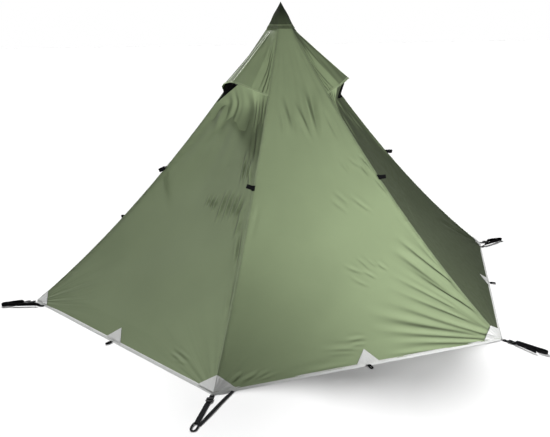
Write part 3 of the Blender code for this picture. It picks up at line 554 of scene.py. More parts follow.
def copy_of(piece):
    made = bpy.data.objects.new("piece", piece.data.copy())
    bpy.context.scene.collection.objects.link(made)
    return made


def done(piece, name, body, look, nodes=()):
    """Names a finished piece, gives it its finish, and fixes it to the body that carries it."""
    piece.name = name
    piece.data.name = name
    piece.data.materials.clear()
    piece.data.materials.append(finish(look))
    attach(piece, body)
    if nodes:
        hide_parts(*nodes)
    return piece


def stitch_mesh(rows):
    """Short raised threads along rows of (points, normals)."""
    corners, faces, uvs = [], [], []
    for points, normals, length, pitch in rows:
        points, normals = np.asarray(points, float), np.asarray(normals, float)
        along = lengths_along(points)
        for start in np.arange(pitch / 2, along[-1] - length, pitch):
            ends = [point_along(reach, along, points) for reach in (start, start + length)]
            normal = point_along(start, along, normals)
            ahead = ends[1] - ends[0]
            ahead /= np.linalg.norm(ahead)
            side = np.cross(normal, ahead)
            side /= np.linalg.norm(side)
            middle = (ends[0] + ends[1]) / 2 + normal * 0.0007
            first = len(corners)
            for end in ends:
                corners += [end + side * 0.0005, end - side * 0.0005]
            for crest in (middle + ahead * 0.001, middle - ahead * 0.001):
                corners += [crest + side * 0.0004, crest - side * 0.0004]
            a, b, c, d, e, f, g, h = range(first, first + 8)
            faces += [(g, h, f, e), (a, b, h, g), (e, f, d, c), (a, g, e, c), (b, d, f, h), (a, c, d, b)]
            uvs += [(0, 0)] * 24
    return corners, faces, uvs


def stitches(name, rows, body, look):
    corners, faces, uvs = stitch_mesh(rows)
    made = new_piece(corners, faces, uvs)
    tidy_shell(made)
    return done(made, name, body, look)


# Finishes


def feed(tree, socket, value):
    """Links an output to a socket, or sets the socket's own value."""
    if isinstance(value, bpy.types.NodeSocket):
        tree.links.new(value, socket)
    else:
        socket.default_value = value


def place(tree, kind, values=None, **settings):
    made = tree.nodes.new(kind)
    for key, value in settings.items():
        setattr(made, key, value)
    for key, value in (values or {}).items():
        feed(tree, made.inputs[key], value)
    return made


def calc(tree, operation, first, second=0.0, clamp=False):
    values = {0: first, 1: second} if operation not in ("SINE", "ABSOLUTE", "EXPONENT") else {0: first}
    return place(tree, "ShaderNodeMath", values, operation=operation, use_clamp=clamp).outputs[0]


def times(tree, first, second):
    return calc(tree, "MULTIPLY", first, second)


def plus(tree, first, second):
    return calc(tree, "ADD", first, second)


def parts_of(tree, vector):
    return place(tree, "ShaderNodeSeparateXYZ", {0: vector}).outputs


def noise(tree, vector, scale, detail, **more):
    values = {"Vector": vector, "Scale": scale, "Detail": detail, **more}
    return place(tree, "ShaderNodeTexNoise", values).outputs[0]


def ramp(tree, value, low, high, start=0.0, end=1.0):
    values = {"Value": value, "From Min": low, "From Max": high, "To Min": start, "To Max": end}
    return place(tree, "ShaderNodeMapRange", values, interpolation_type="SMOOTHSTEP").outputs["Result"]


def mixed(tree, factor, first, second):
    values = {"Factor": factor, "A": first, "B": second}
    made = place(tree, "ShaderNodeMix", None, data_type="RGBA")
    for socket in made.inputs:
        if socket.name in values and socket.type == ("VALUE" if socket.name == "Factor" else "RGBA"):
            feed(tree, socket, values[socket.name])
    return next(o for o in made.outputs if o.type == "RGBA")


def group_of(name, inputs, outputs, fill):
    """A node group made once: inputs and outputs are (name, socket type, default)."""
    if name in bpy.data.node_groups:
        return bpy.data.node_groups[name]
    tree = bpy.data.node_groups.new(name, "ShaderNodeTree")
    for label, kind, default in inputs:
        socket = tree.interface.new_socket(label, in_out="INPUT", socket_type=kind)
        if default is not None:
            socket.default_value = default
    for label, kind in outputs:
        tree.interface.new_socket(label, in_out="OUTPUT", socket_type=kind)
    entry, leave = tree.nodes.new("NodeGroupInput"), tree.nodes.new("NodeGroupOutput")
    for label, socket in fill(tree, entry.outputs).items():
        tree.links.new(socket, leave.inputs[label])
    return tree


def use_group(tree, group, values):
    return place(tree, "ShaderNodeGroup", values, node_tree=group).outputs


def weave_group():
    """A grid of threads: plain weave, and a raised thread every so many millimetres."""

    def fill(tree, entry):
        split = parts_of(tree, entry["Vector"])
        turn = calc(tree, "DIVIDE", 2 * pi, entry["Period"])
        lines = [calc(tree, "SINE", times(tree, split[axis], turn)) for axis in ("X", "Y")]
        sharp = [calc(tree, "POWER", calc(tree, "MULTIPLY_ADD", 0.5, line, True), 12.0) for line in lines]
        fine = times(tree, turn, 9.0)
        threads = [calc(tree, "SINE", times(tree, split[axis], fine)) for axis in ("X", "Y")]
        cell = times(tree, threads[0], threads[1])
        grid = calc(tree, "MAXIMUM", *sharp)
        height = plus(tree, grid, times(tree, cell, 0.25))
        return {"Grid": grid, "Height": height}

    inputs = [("Vector", "NodeSocketVector", None), ("Period", "NodeSocketFloat", 0.006)]
    return group_of("woven grid", inputs, [("Grid", "NodeSocketFloat"), ("Height", "NodeSocketFloat")], fill)


def corner_pull_group():
    """Streaks that fan out of a panel's two hem corners, on UV in metres."""

    def fill(tree, entry):
        split = parts_of(tree, entry["Vector"])
        total = None
        for sign in (-1, 1):
            across = calc(tree, "SUBTRACT", HALF_SIDE, times(tree, split["X"], float(sign)))
            angle = calc(tree, "ARCTAN2", split["Y"], across)
            square = plus(tree, times(tree, across, across), calc(tree, "POWER", split["Y"], 2.0))
            reach = calc(tree, "SQRT", square)
            values = {0: times(tree, angle, 9.0), 1: times(tree, reach, 1.6), 2: float(sign)}
            spot = place(tree, "ShaderNodeCombineXYZ", values).outputs[0]
            streak = noise(tree, spot, 1.0, 2.0, Roughness=0.45)
            streak = times(tree, streak, ramp(tree, reach, 0.03, HALF_SIDE, 1.0, 0.0))
            total = streak if total is None else plus(tree, total, streak)
        return {"Height": total}

    inputs = [("Vector", "NodeSocketVector", None)]
    return group_of("corner pull", inputs, [("Height", "NodeSocketFloat")], fill)


def clouds_group():
    """Slow changes of tone and fine grain, on object coordinates."""

    def fill(tree, entry):
        slow = noise(tree, entry["Vector"], entry["Scale"], 3.0)
        fine = noise(tree, entry["Vector"], times(tree, entry["Scale"], 14.0), 4.0)
        return {"Slow": ramp(tree, slow, 0.3, 0.7), "Fine": fine}

    inputs = [("Vector", "NodeSocketVector", None), ("Scale", "NodeSocketFloat", 2.0)]
    return group_of("clouds", inputs, [("Slow", "NodeSocketFloat"), ("Fine", "NodeSocketFloat")], fill)


def clouds(tree, vector, scale):
    return use_group(tree, clouds_group(), {"Vector": vector, "Scale": scale})


def weave_of(tree, vector, period):
    return use_group(tree, weave_group(), {"Vector": vector, "Period": period})


def new_finish(name):
    made = bpy.data.materials.new(name)
    made.use_nodes = True
    tree = made.node_tree
    shader = tree.nodes["Principled BSDF"]
    where = tree.nodes.new("ShaderNodeTexCoord").outputs
    return made, tree, shader, where


def set_plain(shader, **values):
    for key, value in values.items():
        shader.inputs[key.replace("_", " ")].default_value = value


def wire(tree, shader, **outputs):
    """Links outputs to the shader's inputs of those names."""
    for key, output in outputs.items():
        tree.links.new(output, shader.inputs[key.replace("_", " ")])


def bump_to(tree, shader, height, strength, distance):
    values = {"Height": height, "Strength": strength, "Distance": distance}
    wire(tree, shader, Normal=place(tree, "ShaderNodeBump", values).outputs[0])


def shade(colour, factor):
    return tuple(c * factor for c in colour[:3]) + (1.0,)


def tinted(tree, tone, colour, dark, pale):
    return mixed(tree, tone, shade(colour, dark), shade(colour, pale))


def cloth_finish(name, colour, roughness=0.66, streaks=1.0, crinkle=1.0, specular=0.16):
    """Coated ripstop: a woven grid, soft tone changes, corner streaks and gathers at the seams, with painted
    shade where it is seen edge-on.
    """
    made, tree, shader, where = new_finish(name)
    weave = weave_of(tree, where["UV"], 0.006)
    tones = clouds(tree, where["Object"], 1.6)
    tone = plus(tree, times(tree, tones["Slow"], 0.7), times(tree, tones["Fine"], 0.3))
    base = tinted(tree, tone, colour, 0.93, 1.07)
    lined = mixed(tree, times(tree, weave["Grid"], 0.12), base, shade(colour, 0.7))
    # Painted shade: the colour darkens towards a fifth of itself where the cloth is seen edge-on, standing in
    # for faces turned from the lamps.
    facing = place(tree, "ShaderNodeLayerWeight", {"Blend": 0.5}).outputs["Facing"]
    grazing_shade_mask = ramp(tree, facing, 0.1, 0.8, 0.0, 1.0)
    grazing_shaded_colour = mixed(tree, times(tree, grazing_shade_mask, 0.88), lined, shade(colour, 0.2))
    rough = ramp(tree, tones["Fine"], 0.3, 0.7, roughness - 0.05, roughness + 0.07)
    wire(tree, shader, Base_Color=grazing_shaded_colour, Roughness=rough)
    seam = tree.nodes.new("ShaderNodeAttribute")
    seam.attribute_name = "seam"
    near = ramp(tree, seam.outputs["Fac"], 0.0, 0.05, 1.0, 0.0)
    gathers = noise(tree, where["Object"], 38.0, 2.0)
    creases = noise(tree, where["Object"], 9.0, 3.0, Roughness=0.55, Distortion=0.6)
    pull = use_group(tree, corner_pull_group(), {"Vector": where["UV"]})["Height"]
    height = times(tree, times(tree, gathers, near), 1.2)
    height = plus(tree, height, times(tree, creases, 0.25 * crinkle))
    height = plus(tree, height, times(tree, pull, 1.6 * streaks))
    height = plus(tree, height, times(tree, weave["Height"], 0.02))
    bump_to(tree, shader, height, 0.6, 0.0045)
    set_plain(shader, Specular_IOR_Level=specular)
    return made


def cap_finish(name, colour, hem_colour):
    """The cap's dark cloth, with a lighter turned hem."""
    made = cloth_finish(name, colour, 0.6, 0.0, 1.2)
    tree = made.node_tree
    shader = tree.nodes["Principled BSDF"]
    # deep carries the cloth's colour with its painted edge-on shade.
    deep = shader.inputs["Base Color"].links[0].from_socket
    where = tree.nodes.new("ShaderNodeTexCoord").outputs
    down = parts_of(tree, where["UV"])["Y"]
    paler = mixed(tree, ramp(tree, down, 0.03, 0.13, 0.0, 0.5), deep, hem_colour)
    edge = times(tree, ramp(tree, down, 0.1355, 0.1375), ramp(tree, down, 0.139, 0.141, 1.0, 0.0))
    hemmed = mixed(tree, ramp(tree, down, 0.139, 0.141), paler, hem_colour)
    wire(tree, shader, Base_Color=mixed(tree, edge, hemmed, shade(hem_colour, 2.4)))
    return made


def tape_finish(name, colour, roughness=0.7, period=0.0016):
    """Woven tape or patch cloth: a fine weave, faint dirt and soft creases."""
    made, tree, shader, where = new_finish(name)
    weave = weave_of(tree, where["UV"], period)
    tones = clouds(tree, where["Object"], 7.0)
    tone = times(tree, tones["Slow"], tones["Fine"])
    base = tinted(tree, tone, colour, 0.9, 1.08)
    lined = mixed(tree, times(tree, weave["Grid"], 0.15), base, shade(colour, 0.7))
    rough = ramp(tree, tones["Fine"], 0.2, 0.8, roughness - 0.1, roughness + 0.1)
    wire(tree, shader, Base_Color=lined, Roughness=rough)
    height = plus(tree, times(tree, weave["Height"], 0.25), times(tree, tones["Fine"], 1.0))
    bump_to(tree, shader, height, 0.5, 0.0008)
    return made


def webbing_finish(name, colour):
    """Ribbed webbing: chevrons across the strap and cords along it."""
    made, tree, shader, where = new_finish(name)
    split = parts_of(tree, where["UV"])
    zigzag = calc(tree, "PINGPONG", split["X"], 0.0025)
    phase = plus(tree, split["Y"], zigzag)
    ribs = calc(tree, "SINE", times(tree, phase, 2 * pi / 0.0016))
    cords = calc(tree, "SINE", times(tree, split["X"], 2 * pi / 0.0025))
    tones = clouds(tree, where["Object"], 20.0)
    tone = calc(tree, "MULTIPLY_ADD", 0.3, ribs, True)
    base = tinted(tree, tone, colour, 0.7, 1.9)
    wire(tree, shader, Base_Color=base, Roughness=ramp(tree, tones["Fine"], 0.3, 0.7, 0.7, 0.9))
    height = plus(tree, ribs, times(tree, cords, 0.6))
    bump_to(tree, shader, height, 0.6, 0.0003)
    set_plain(shader, Specular_IOR_Level=0.12)
    return made


def mesh_finish(name, colour):
    """Insect mesh: a fine net, open between its threads."""
    made, tree, shader, where = new_finish(name)
    split = parts_of(tree, where["UV"])
    lines = [
        calc(tree, "ABSOLUTE", calc(tree, "SINE", times(tree, split[axis], pi / 0.0016)))
        for axis in ("X", "Y")
    ]
    gap = calc(tree, "MINIMUM", *lines)
    tones = clouds(tree, where["Object"], 20.0)
    base = tinted(tree, tones["Slow"], colour, 0.7, 1.3)
    wire(tree, shader, Base_Color=base, Alpha=ramp(tree, gap, 0.35, 0.6, 1.0, 0.72))
    bump_to(tree, shader, gap, 0.4, 0.0003)
    set_plain(shader, Roughness=0.85, Specular_IOR_Level=0.1)
    return made


def hard_finish(name, colour, roughness, metallic=0.0, scale=60.0, brushed=None, depth=0.0002, specular=0.5):
    """Moulded or drawn pieces: fine grain, worn tone and, on metal, lines along the draw."""
    made, tree, shader, where = new_finish(name)
    vector = where["Object"]
    if brushed:
        vector = place(tree, "ShaderNodeMapping", {"Vector": vector, "Scale": brushed}).outputs[0]
    tones = clouds(tree, vector, scale)
    base = tinted(tree, tones["Slow"], colour, 0.85, 1.15)
    rough = ramp(tree, tones["Fine"], 0.25, 0.75, roughness - 0.08, roughness + 0.1)
    wire(tree, shader, Base_Color=base, Roughness=rough)
    bump_to(tree, shader, tones["Fine"], 0.35, depth)
    set_plain(shader, Metallic=metallic, Specular_IOR_Level=specular)
    return made


FINISHES = {}


def finish(name):
    """Each finish is made once, from the colours in the panel."""
    if name in FINISHES:
        return FINISHES[name]
    tints = bpy.context.scene.tent_colours
    cloth_colour = tuple(tints.cloth)
    makers = {
        "cloth": lambda: cloth_finish("olive coated cloth", cloth_colour),
        # The hoods' cloth is the canopy olive painted 1.15 times paler, painted light for their tilt towards
        # the lamps.
        "hood": lambda: cloth_finish("olive hood cloth painted paler", shade(cloth_colour, 1.15), 0.58, 0.0, 1.6, 0.08),
        "cap": lambda: cap_finish("dark coated cap cloth", tuple(tints.cap), shade(cloth_colour, 0.42)),
        "seam": lambda: tape_finish("felled olive seam", shade(cloth_colour, 0.85), 0.6, 0.003),
        # Hood piping and crease seams: the olive painted 1.3 times paler, a painted highlight along them.
        "painted highlight seam": lambda: tape_finish("olive seam with painted highlight", shade(cloth_colour, 1.3), 0.5, 0.003),
        "patch": lambda: tape_finish("pale patch cloth", tuple(tints.patch), 0.62, 0.0022),
        "tape": lambda: tape_finish("pale hem tape", shade(tuple(tints.patch), 1.04), 0.65, 0.0014),
        "webbing": lambda: webbing_finish("black webbing", tuple(tints.webbing)),
        "net": lambda: mesh_finish("black insect net", (0.004, 0.004, 0.004, 1)),
        "thread": lambda: hard_finish("olive thread", shade(cloth_colour, 0.5), 0.8),
        "pale thread": lambda: hard_finish("pale thread", (0.66, 0.67, 0.64, 1), 0.8),
        "plastic": lambda: hard_finish(
            "black moulded plastic", (0.007, 0.007, 0.008, 1), 0.55, depth=0.0001, specular=0.22
        ),
        "stiffener": lambda: hard_finish("dark stiff strip", (0.03, 0.03, 0.03, 1), 0.55),
        "zip coil": lambda: hard_finish("black zip coil", (0.018, 0.018, 0.019, 1), 0.4),
        "steel": lambda: hard_finish("zip slider metal", (0.32, 0.33, 0.34, 1), 0.35, 1.0, 90.0),
        "rubber": lambda: hard_finish("black rubber", (0.02, 0.02, 0.02, 1), 0.78, 0.0, 120.0, None, 0.0003),
        "alloy": lambda: hard_finish(
            "drawn pole alloy", (0.55, 0.56, 0.58, 1), 0.32, 1.0, 40.0, (1, 1, 0.03), 0.0001
        ),
    }
    FINISHES[name] = makers[name]()
    return FINISHES[name]


# Cloth


def spaced(fine, density, count):
    """Shares that stand closer together where the density is higher."""
    total = np.concatenate([[0], np.cumsum((density[1:] + density[:-1]) / 2)])
    return np.interp(np.linspace(0, total[-1], count + 1), total, fine)


def column_shares(count, crowd):
    """Columns that stand closer together towards the seams, and more so on the crowded side."""
    fine = np.linspace(0, 1, 2001)
    density = 1 + 0.7 * np.exp(-((np.minimum(fine, 1 - fine) / 0.06) ** 2))
    if crowd > 0:
        density = density + 1.3 * smooth(fine, crowd, crowd + 0.2)
    return spaced(fine, density, count)


def row_shares(count):
    """Rows from the tuck under the cap to the hem, closer together near the hem."""
    last = float(share_at(HEM_HEIGHT))
    fine = np.linspace(-0.0175, last, 2001)
    density = 0.75 + 0.9 * smooth(fine, 0.55, 0.75) + 0.8 * smooth(fine, 0.93, 0.985)
    return spaced(fine, density, count)


def slope_length(shares):
    """Length down the cloth from the top of the ridge to each share, at the middle of a face."""
    fine = np.linspace(-0.02, 1, 800)
    radius, height = ridge(fine)
    steps = np.hypot(np.diff(radius * COS30), np.diff(height))
    return np.interp(shares, fine, np.concatenate([[0], np.cumsum(steps)]))


def panel_grid(face, columns, rows):
    column, share = np.meshgrid(columns, rows)
    points, seam = canopy_point(face, column, share)
    radius = ridge(share)[0]
    top = slope_length(np.array([1.0]))[0]
    uv = np.stack([(column - 0.5) * radius, top - slope_length(share)], -1)
    return points, uv, seam


def make_panels():
    thickness = tent_sizes().cloth_thickness
    rows = row_shares(PANEL_ROWS)
    for face, node in PANEL_NODES.items():
        count, crowd = {0: (190, 0.55), 1: (232, 0.42), 2: (150, 0.5)}.get(face, (100, 0))
        columns = column_shares(count, crowd)
        grid = panel_grid(face, columns, rows)
        hole = None
        if face in VENTS:
            middle_row, middle_column = (rows[1:] + rows[:-1]) / 2, (columns[1:] + columns[:-1]) / 2
            inside_row = (middle_row > 0.1) & (middle_row < 0.225)
            inside_column = (middle_column > 1 / 6) & (middle_column < 5 / 6)
            hole = inside_row[:, None] & inside_column[None, :]
        outward, _ = face_axes(face)
        piece = cloth([grid], thickness, outward, hole)
        done(piece, f"cloth_{node}", "canopy", "cloth", [node])


def door_strip(sides, rows):
    """Cloth of the door's face between two columns of side distances, for each row of shares."""
    outward, sideways = face_axes(DOOR_FACE)
    radius, height = ridge(rows)
    points = []
    for k in range(sides.shape[1]):
        side = sides[:, k]
        half = radius / 2
        fold = np.where(rows < DOOR_TOP_SHARE, 0.0, fold_line(height))
        flat = np.where(rows < DOOR_TOP_SHARE, radius * COS30, door_apothem(height))
        share = np.clip((half - np.abs(side)) / np.maximum(half - fold, 1e-6), 0, 1)
        apothem = radius * COS30 + (flat - radius * COS30) * share
        ripple = 0.0016 * np.sin(height * 13 + side * 9) * np.sin(np.pi * np.clip(share, 0, 1) * 0.5)
        ripple = ripple * smooth(half - np.abs(side), 0, 0.04) * smooth(height, 0.0, 0.12)
        points.append(np.outer(apothem + ripple, outward) + np.outer(side, sideways) + np.outer(height, UP))
    return np.stack(points, 1)


def strip_grid(lows, highs, count, rows):
    """A grid between two side distances that change from row to row."""
    part = np.linspace(0, 1, count + 1)
    sides = lows[:, None] + (highs - lows)[:, None] * part
    grid = door_strip(sides, rows)
    top = slope_length(np.array([1.0]))[0]
    uv = np.stack([sides, np.repeat((top - slope_length(rows))[:, None], count + 1, 1)], -1)
    seam = np.repeat((ridge(rows)[0] / 2)[:, None], count + 1, 1) - np.abs(sides)
    return grid, uv, seam


def door_fixed_side():
    """The rear face's cloth, all of it but the flap at the zip's right."""
    thickness = tent_sizes().cloth_thickness
    rows = row_shares(PANEL_ROWS)
    start = int(np.searchsorted(rows, DOOR_TOP_SHARE))
    rows[start] = DOOR_TOP_SHARE
    half, height = ridge(rows)[0] / 2, ridge(rows)[1]
    fold = fold_line(height)
    fold = np.where(rows < DOOR_TOP_SHARE, DOOR_TOP_HALF * half / half[start], fold)
    edge = np.where(rows < DOOR_TOP_SHARE, 0.0125 * half / half[start], 0.0125)
    grids = [
        strip_grid(-half, -fold, 16, rows),
        strip_grid(-fold, -edge, 50, rows),
        strip_grid(-edge[: start + 1], (fold + 0.0004)[: start + 1], 8, rows[: start + 1]),
        strip_grid(fold + 0.0004, half, 16, rows),
    ]
    outward, _ = face_axes(DOOR_FACE)
    fixed = cloth(grids, thickness, outward)
    done(fixed, "cloth_door_panel_fixed", "canopy", "cloth", ["door_panel_fixed"])


def door_flap():
    """The flap's cloth, in the plane from the hem to the opening's top."""
    thickness = tent_sizes().cloth_thickness
    centre, sideways, up, normal, slope = door_frame()
    rows = np.linspace(0.011 * slope / ridge(DOOR_TOP_SHARE)[1], slope - 0.002, 120)
    low = np.full_like(rows, ZIP_EDGE + ZIP_TAPE - 0.001)
    high = DOOR_HALF - (DOOR_HALF - DOOR_TOP_HALF) * rows / slope - 0.0004
    part = np.linspace(0, 1, 51)
    side = low[:, None] + (high - low)[:, None] * part
    rise = np.repeat(rows[:, None], len(part), 1)
    window = np.sin(np.pi * part)[None, :] * smooth(rise, 0.0, 0.2) * smooth(-rise, -slope, -slope + 0.2)
    relief = 0.003 * np.sin(side * 11 + rise * 5) * window
    relief += 0.0015 * np.sin(side * 31 - rise * 9) * window
    points = centre + side[..., None] * sideways + rise[..., None] * up + relief[..., None] * normal
    grid = (points, np.stack([side, rise], -1), np.minimum(side - low[:, None], high[:, None] - side))
    flap = cloth([grid], thickness, normal)
    done(flap, "cloth_door_flap", "door", "cloth", ["door_flap"])


def door_strip_band(spots, widthways, width, level):
    """A tape through spots of the door's plane, at a level above it."""
    centre, sideways, up, normal, _ = door_frame()
    path = [centre + sideways * x + up * s + normal * level for x, s in spots]
    return band(path, [widthways] * len(path), width, TAPE_THICKNESS)


def door_tapes():
    """Tape along the flap's zip, foot and slanting edge, and the fixed side's zip tape."""
    centre, sideways, up, normal, slope = door_frame()
    zip_rows = np.linspace(0.003, slope - 0.004, 90)
    tape = door_strip_band([(ZIP_MIDDLE, s) for s in zip_rows], sideways, ZIP_TAPE - 0.0006, -0.0002)
    foot = [(x, 0.0062) for x in np.linspace(ZIP_EDGE + ZIP_TAPE, DOOR_HALF - 0.003, 60)]
    hem = door_strip_band(foot, up, 0.0115, -0.0002)
    fold_top = DOOR_HALF - (DOOR_HALF - DOOR_TOP_HALF) * (slope - 0.01) / slope
    low, high = np.array((DOOR_HALF - 0.006, 0.013)), np.array((fold_top - 0.005, slope - 0.01))
    run = (centre + sideways * high[0] + up * high[1]) - (centre + sideways * low[0])
    across = np.cross(normal, run)
    path = [tuple(low + (high - low) * k) for k in np.linspace(0, 1, 60)]
    binding = door_strip_band(path, across / np.linalg.norm(across), 0.006, 0.0002)
    done(join([tape, hem, binding]), "flap_tape", "door", "tape", ["door_flap_tape"])
    fixed_tape = door_strip_band([(-ZIP_MIDDLE, s) for s in zip_rows], sideways, ZIP_TAPE - 0.0006, -0.0002)
    done(fixed_tape, "zip_tape_fixed", "canopy", "webbing", ["zip_chain"])


def zip_teeth():
    """A row of teeth on each side of the zip, one tooth repeated."""
    centre, sideways, up, normal, slope = door_frame()
    for sign, body, name in ((-1, "canopy", "zip_teeth_fixed"), (1, "door", "zip_teeth_flap")):
        teeth = block((0.0026, 0.0018, 0.0016), (0, 0, 0), 0.0004, 1)
        apply_modifier(
            teeth,
            "row of teeth",
            "ARRAY",
            count=int((slope - 0.024) / ZIP_PITCH),
            use_relative_offset=False,
            use_constant_offset=True,
            constant_offset_displace=(0, ZIP_PITCH, 0),
        )
        placed(teeth, centre + sideways * sign * 0.0017 + up * 0.012 + normal * 0.0011, sideways, up, normal)
        done(teeth, name, body, "zip coil")


def zip_slider():
    """The slider's body, and its puller with a ring, a tongue and a grip."""
    centre, sideways, up, normal, _ = door_frame()
    middle = centre - sideways * ZIP_MIDDLE
    slider = block((0.0105, 0.021, 0.0016), (0, 0.0105, 0.0018), 0.0007)
    lower = block((0.0075, 0.017, 0.0012), (0, 0.0105, 0.0005), 0.0005)
    bridge = block((0.0026, 0.013, 0.0018), (0, 0.0105, 0.0048), 0.0008)
    posts = [block((0.0026, 0.0022, 0.0036), (0, y, 0.0033), 0.0006) for y in (0.0048, 0.0162)]
    made = join([slider, lower, bridge, *posts])
    placed(made, middle + up * 0.07 + normal * 0.0012, sideways, up, normal)
    tidy_shell(made)
    done(made, "zip_slider_body", "slider", "steel", ["zip_slider"])
    level = 0.0006 + 0.0003 + 0.0056 + 0.0006 + 0.0009
    turns = np.linspace(0, 2 * pi, 24)[:-1]
    circle = [(0.0032 * cos(a), -0.003 + 0.004 * sin(a), 0) for a in turns]
    ring = band(circle, [(cos(a), sin(a), 0) for a in turns], 0.0014, 0.0014, True)
    spots = [(0, y, 0) for y in np.linspace(-0.006, -0.036, 14)]
    tongue = band(spots, [(1, 0, 0)] * 14, 0.005, 0.0016)
    grip = block((0.008, 0.014, 0.0024), (0, -0.038, 0), 0.0009)
    made = join([tongue, ring, grip])
    placed(made, middle + up * 0.081 + normal * level, sideways, up, normal)
    tidy_shell(made)
    done(made, "zip_puller_cord", "puller", "webbing", ["zip_puller"])


def make_door():
    """The rear face: a fixed side, and a flap that folds back about the line from its foot to its top."""
    door_fixed_side()
    door_flap()
    door_tapes()
    zip_teeth()
    zip_slider()


def make_cap():
    """The coated cap: six gores that round over the apex, a turned hem and a small sewn point."""
    sizes = tent_sizes()
    rim, apex = sizes.apex_height - 0.146, sizes.apex_height - 0.0005
    levels = np.linspace(0, 1, 34)
    around = np.linspace(0, 2 * pi, 145)
    rim_radius = ridge(share_at(rim))[0] + 0.0032
    points, uv = [], []
    for level in levels:
        height = rim + (apex - rim) * level
        radius = rim_radius * (1 - level) + 0.0018 * sin(pi * level)
        radius = max(radius - 0.002 * sin(level * 9) * (1 - level), 0.0006)
        row = []
        for angle in around:
            local = (angle % radians(60)) - radians(30)
            flat = COS30 / cos(local)
            pucker = 0.0009 * sin(angle * 18 + level * 14) * (1 - level)
            reach = radius * flat + pucker
            row.append((reach * cos(angle), reach * sin(angle), height))
        points.append(row)
        uv.append([(angle * rim_radius, (1 - level) * 0.16) for angle in around])
    points, uv = np.array(points), np.array(uv)
    seam_angle = np.abs((around % radians(60)) - radians(30))
    seam = (radians(30) - seam_angle)[None, :] * np.linalg.norm(points[..., :2], axis=-1)
    outwards = points[:4] / np.linalg.norm(points[:4, :, :2], axis=-1)[..., None]
    outwards[..., 2] = 0
    piece = cloth([(points, uv, seam)], 0.0012)
    roll = cloth([(points[:4] + outwards * 0.0011, uv[:4], seam[:4])], 0.001)
    for made in (piece, roll):
        tidy_shell(made, 0.00002)
    whole = join([piece, roll])
    done(whole, "cap", "canopy", "cap", ["apex_cap"])
    rows = []
    for level in (0.012, 0.002):
        height = rim + 0.145 * level * 7 + 0.002
        part = (height - rim) / (apex - rim)
        ring, normals = [], []
        for angle in np.linspace(0, 2 * pi, 145):
            local = (angle % radians(60)) - radians(30)
            reach = (rim_radius * (1 - part)) * COS30 / cos(local) + 0.0022
            ring.append((reach * cos(angle), reach * sin(angle), height))
            normals.append((cos(angle), sin(angle), 0.4))
        rows.append((ring, normals, 0.0045, 0.007))
    stitches("cap_stitching", rows, "canopy", "thread")


# Vents


def hood_section(row):
    """Distance from the pole, half width and height of a hood's section at a row."""
    radius, height = ridge(HOOD_TOP + (HOOD_FOOT - HOOD_TOP) * row)
    return radius * COS30, radius / 2, height


def hood_points(face, near, row, drop=0.0):
    """Points of a hood, from 0 at its far ridge to 1 at the ridge beside the front panel."""
    near, row = np.broadcast_arrays(np.asarray(near, float), np.asarray(row, float))
    outward, sideways = face_axes(face)
    sign = 1 if face == 0 else -1
    apothem, half, height = hood_section(row)
    lift = 0.0023 + 0.0177 * np.clip(row, 0, 1) * smooth(np.minimum(near, 1 - near), 0, 0.2)
    grow = (apothem + lift) / apothem
    crease = (1 - np.abs(2 * near - 1) ** np.where(near < 0.5, 1.9, 1.35)) * row
    belly = 0.006 * np.sin(np.pi * row) * np.sin(np.pi * near * 2) ** 2
    crest = 0.0035 * np.exp(-(((near - 0.5) / 0.018) ** 2))
    crest = crest + 0.003 * np.exp(-(((near - 0.37) / 0.02) ** 2))
    crest = crest - 0.003 * np.exp(-(((near - 0.435) / 0.03) ** 2))
    valley = 0.02 * smooth(near, 0.77, 0.83) * (1 - smooth(near, 0.85, 1.0)) * smooth(row, 0.2, 0.7)
    radial = apothem * grow + 0.074 * crease - belly - valley - drop + crest * smooth(row, 0, 0.25)
    side = sign * (2 * near - 1) * half * grow
    top = height + 0.0684 * crease - belly * 0.5 - drop - valley * 0.4
    return radial[..., None] * outward + side[..., None] * sideways + top[..., None] * UP


def sill_points(face, near, share=0.23, lift=0.0024):
    """Points just above the panel below a hood."""
    sign = 1 if face == 0 else -1
    near = np.asarray(near, float)
    points, _ = canopy_point(face, 0.5 + sign * (near - 0.5), np.full_like(near, share), lift, folds=False)
    return points


def mouth_edge(face, near):
    """Lower edge of a vent's mouth: along the sill, then up to the rim beside the tip."""
    start, end = MOUTHS[face]
    part = np.clip((near - start) / (end - start), 0, 1)[:, None]
    foot, top = sill_points(face, np.array([start]))[0], hood_points(face, end, HOOD_RIM, 0.0025)
    line = foot * (1 - part) + top * part
    rim = hood_points(face, near, np.full_like(near, HOOD_RIM), 0.0025)
    sill = sill_points(face, near)
    return np.where((near < start)[:, None], sill, np.where((near > end)[:, None], rim, line))


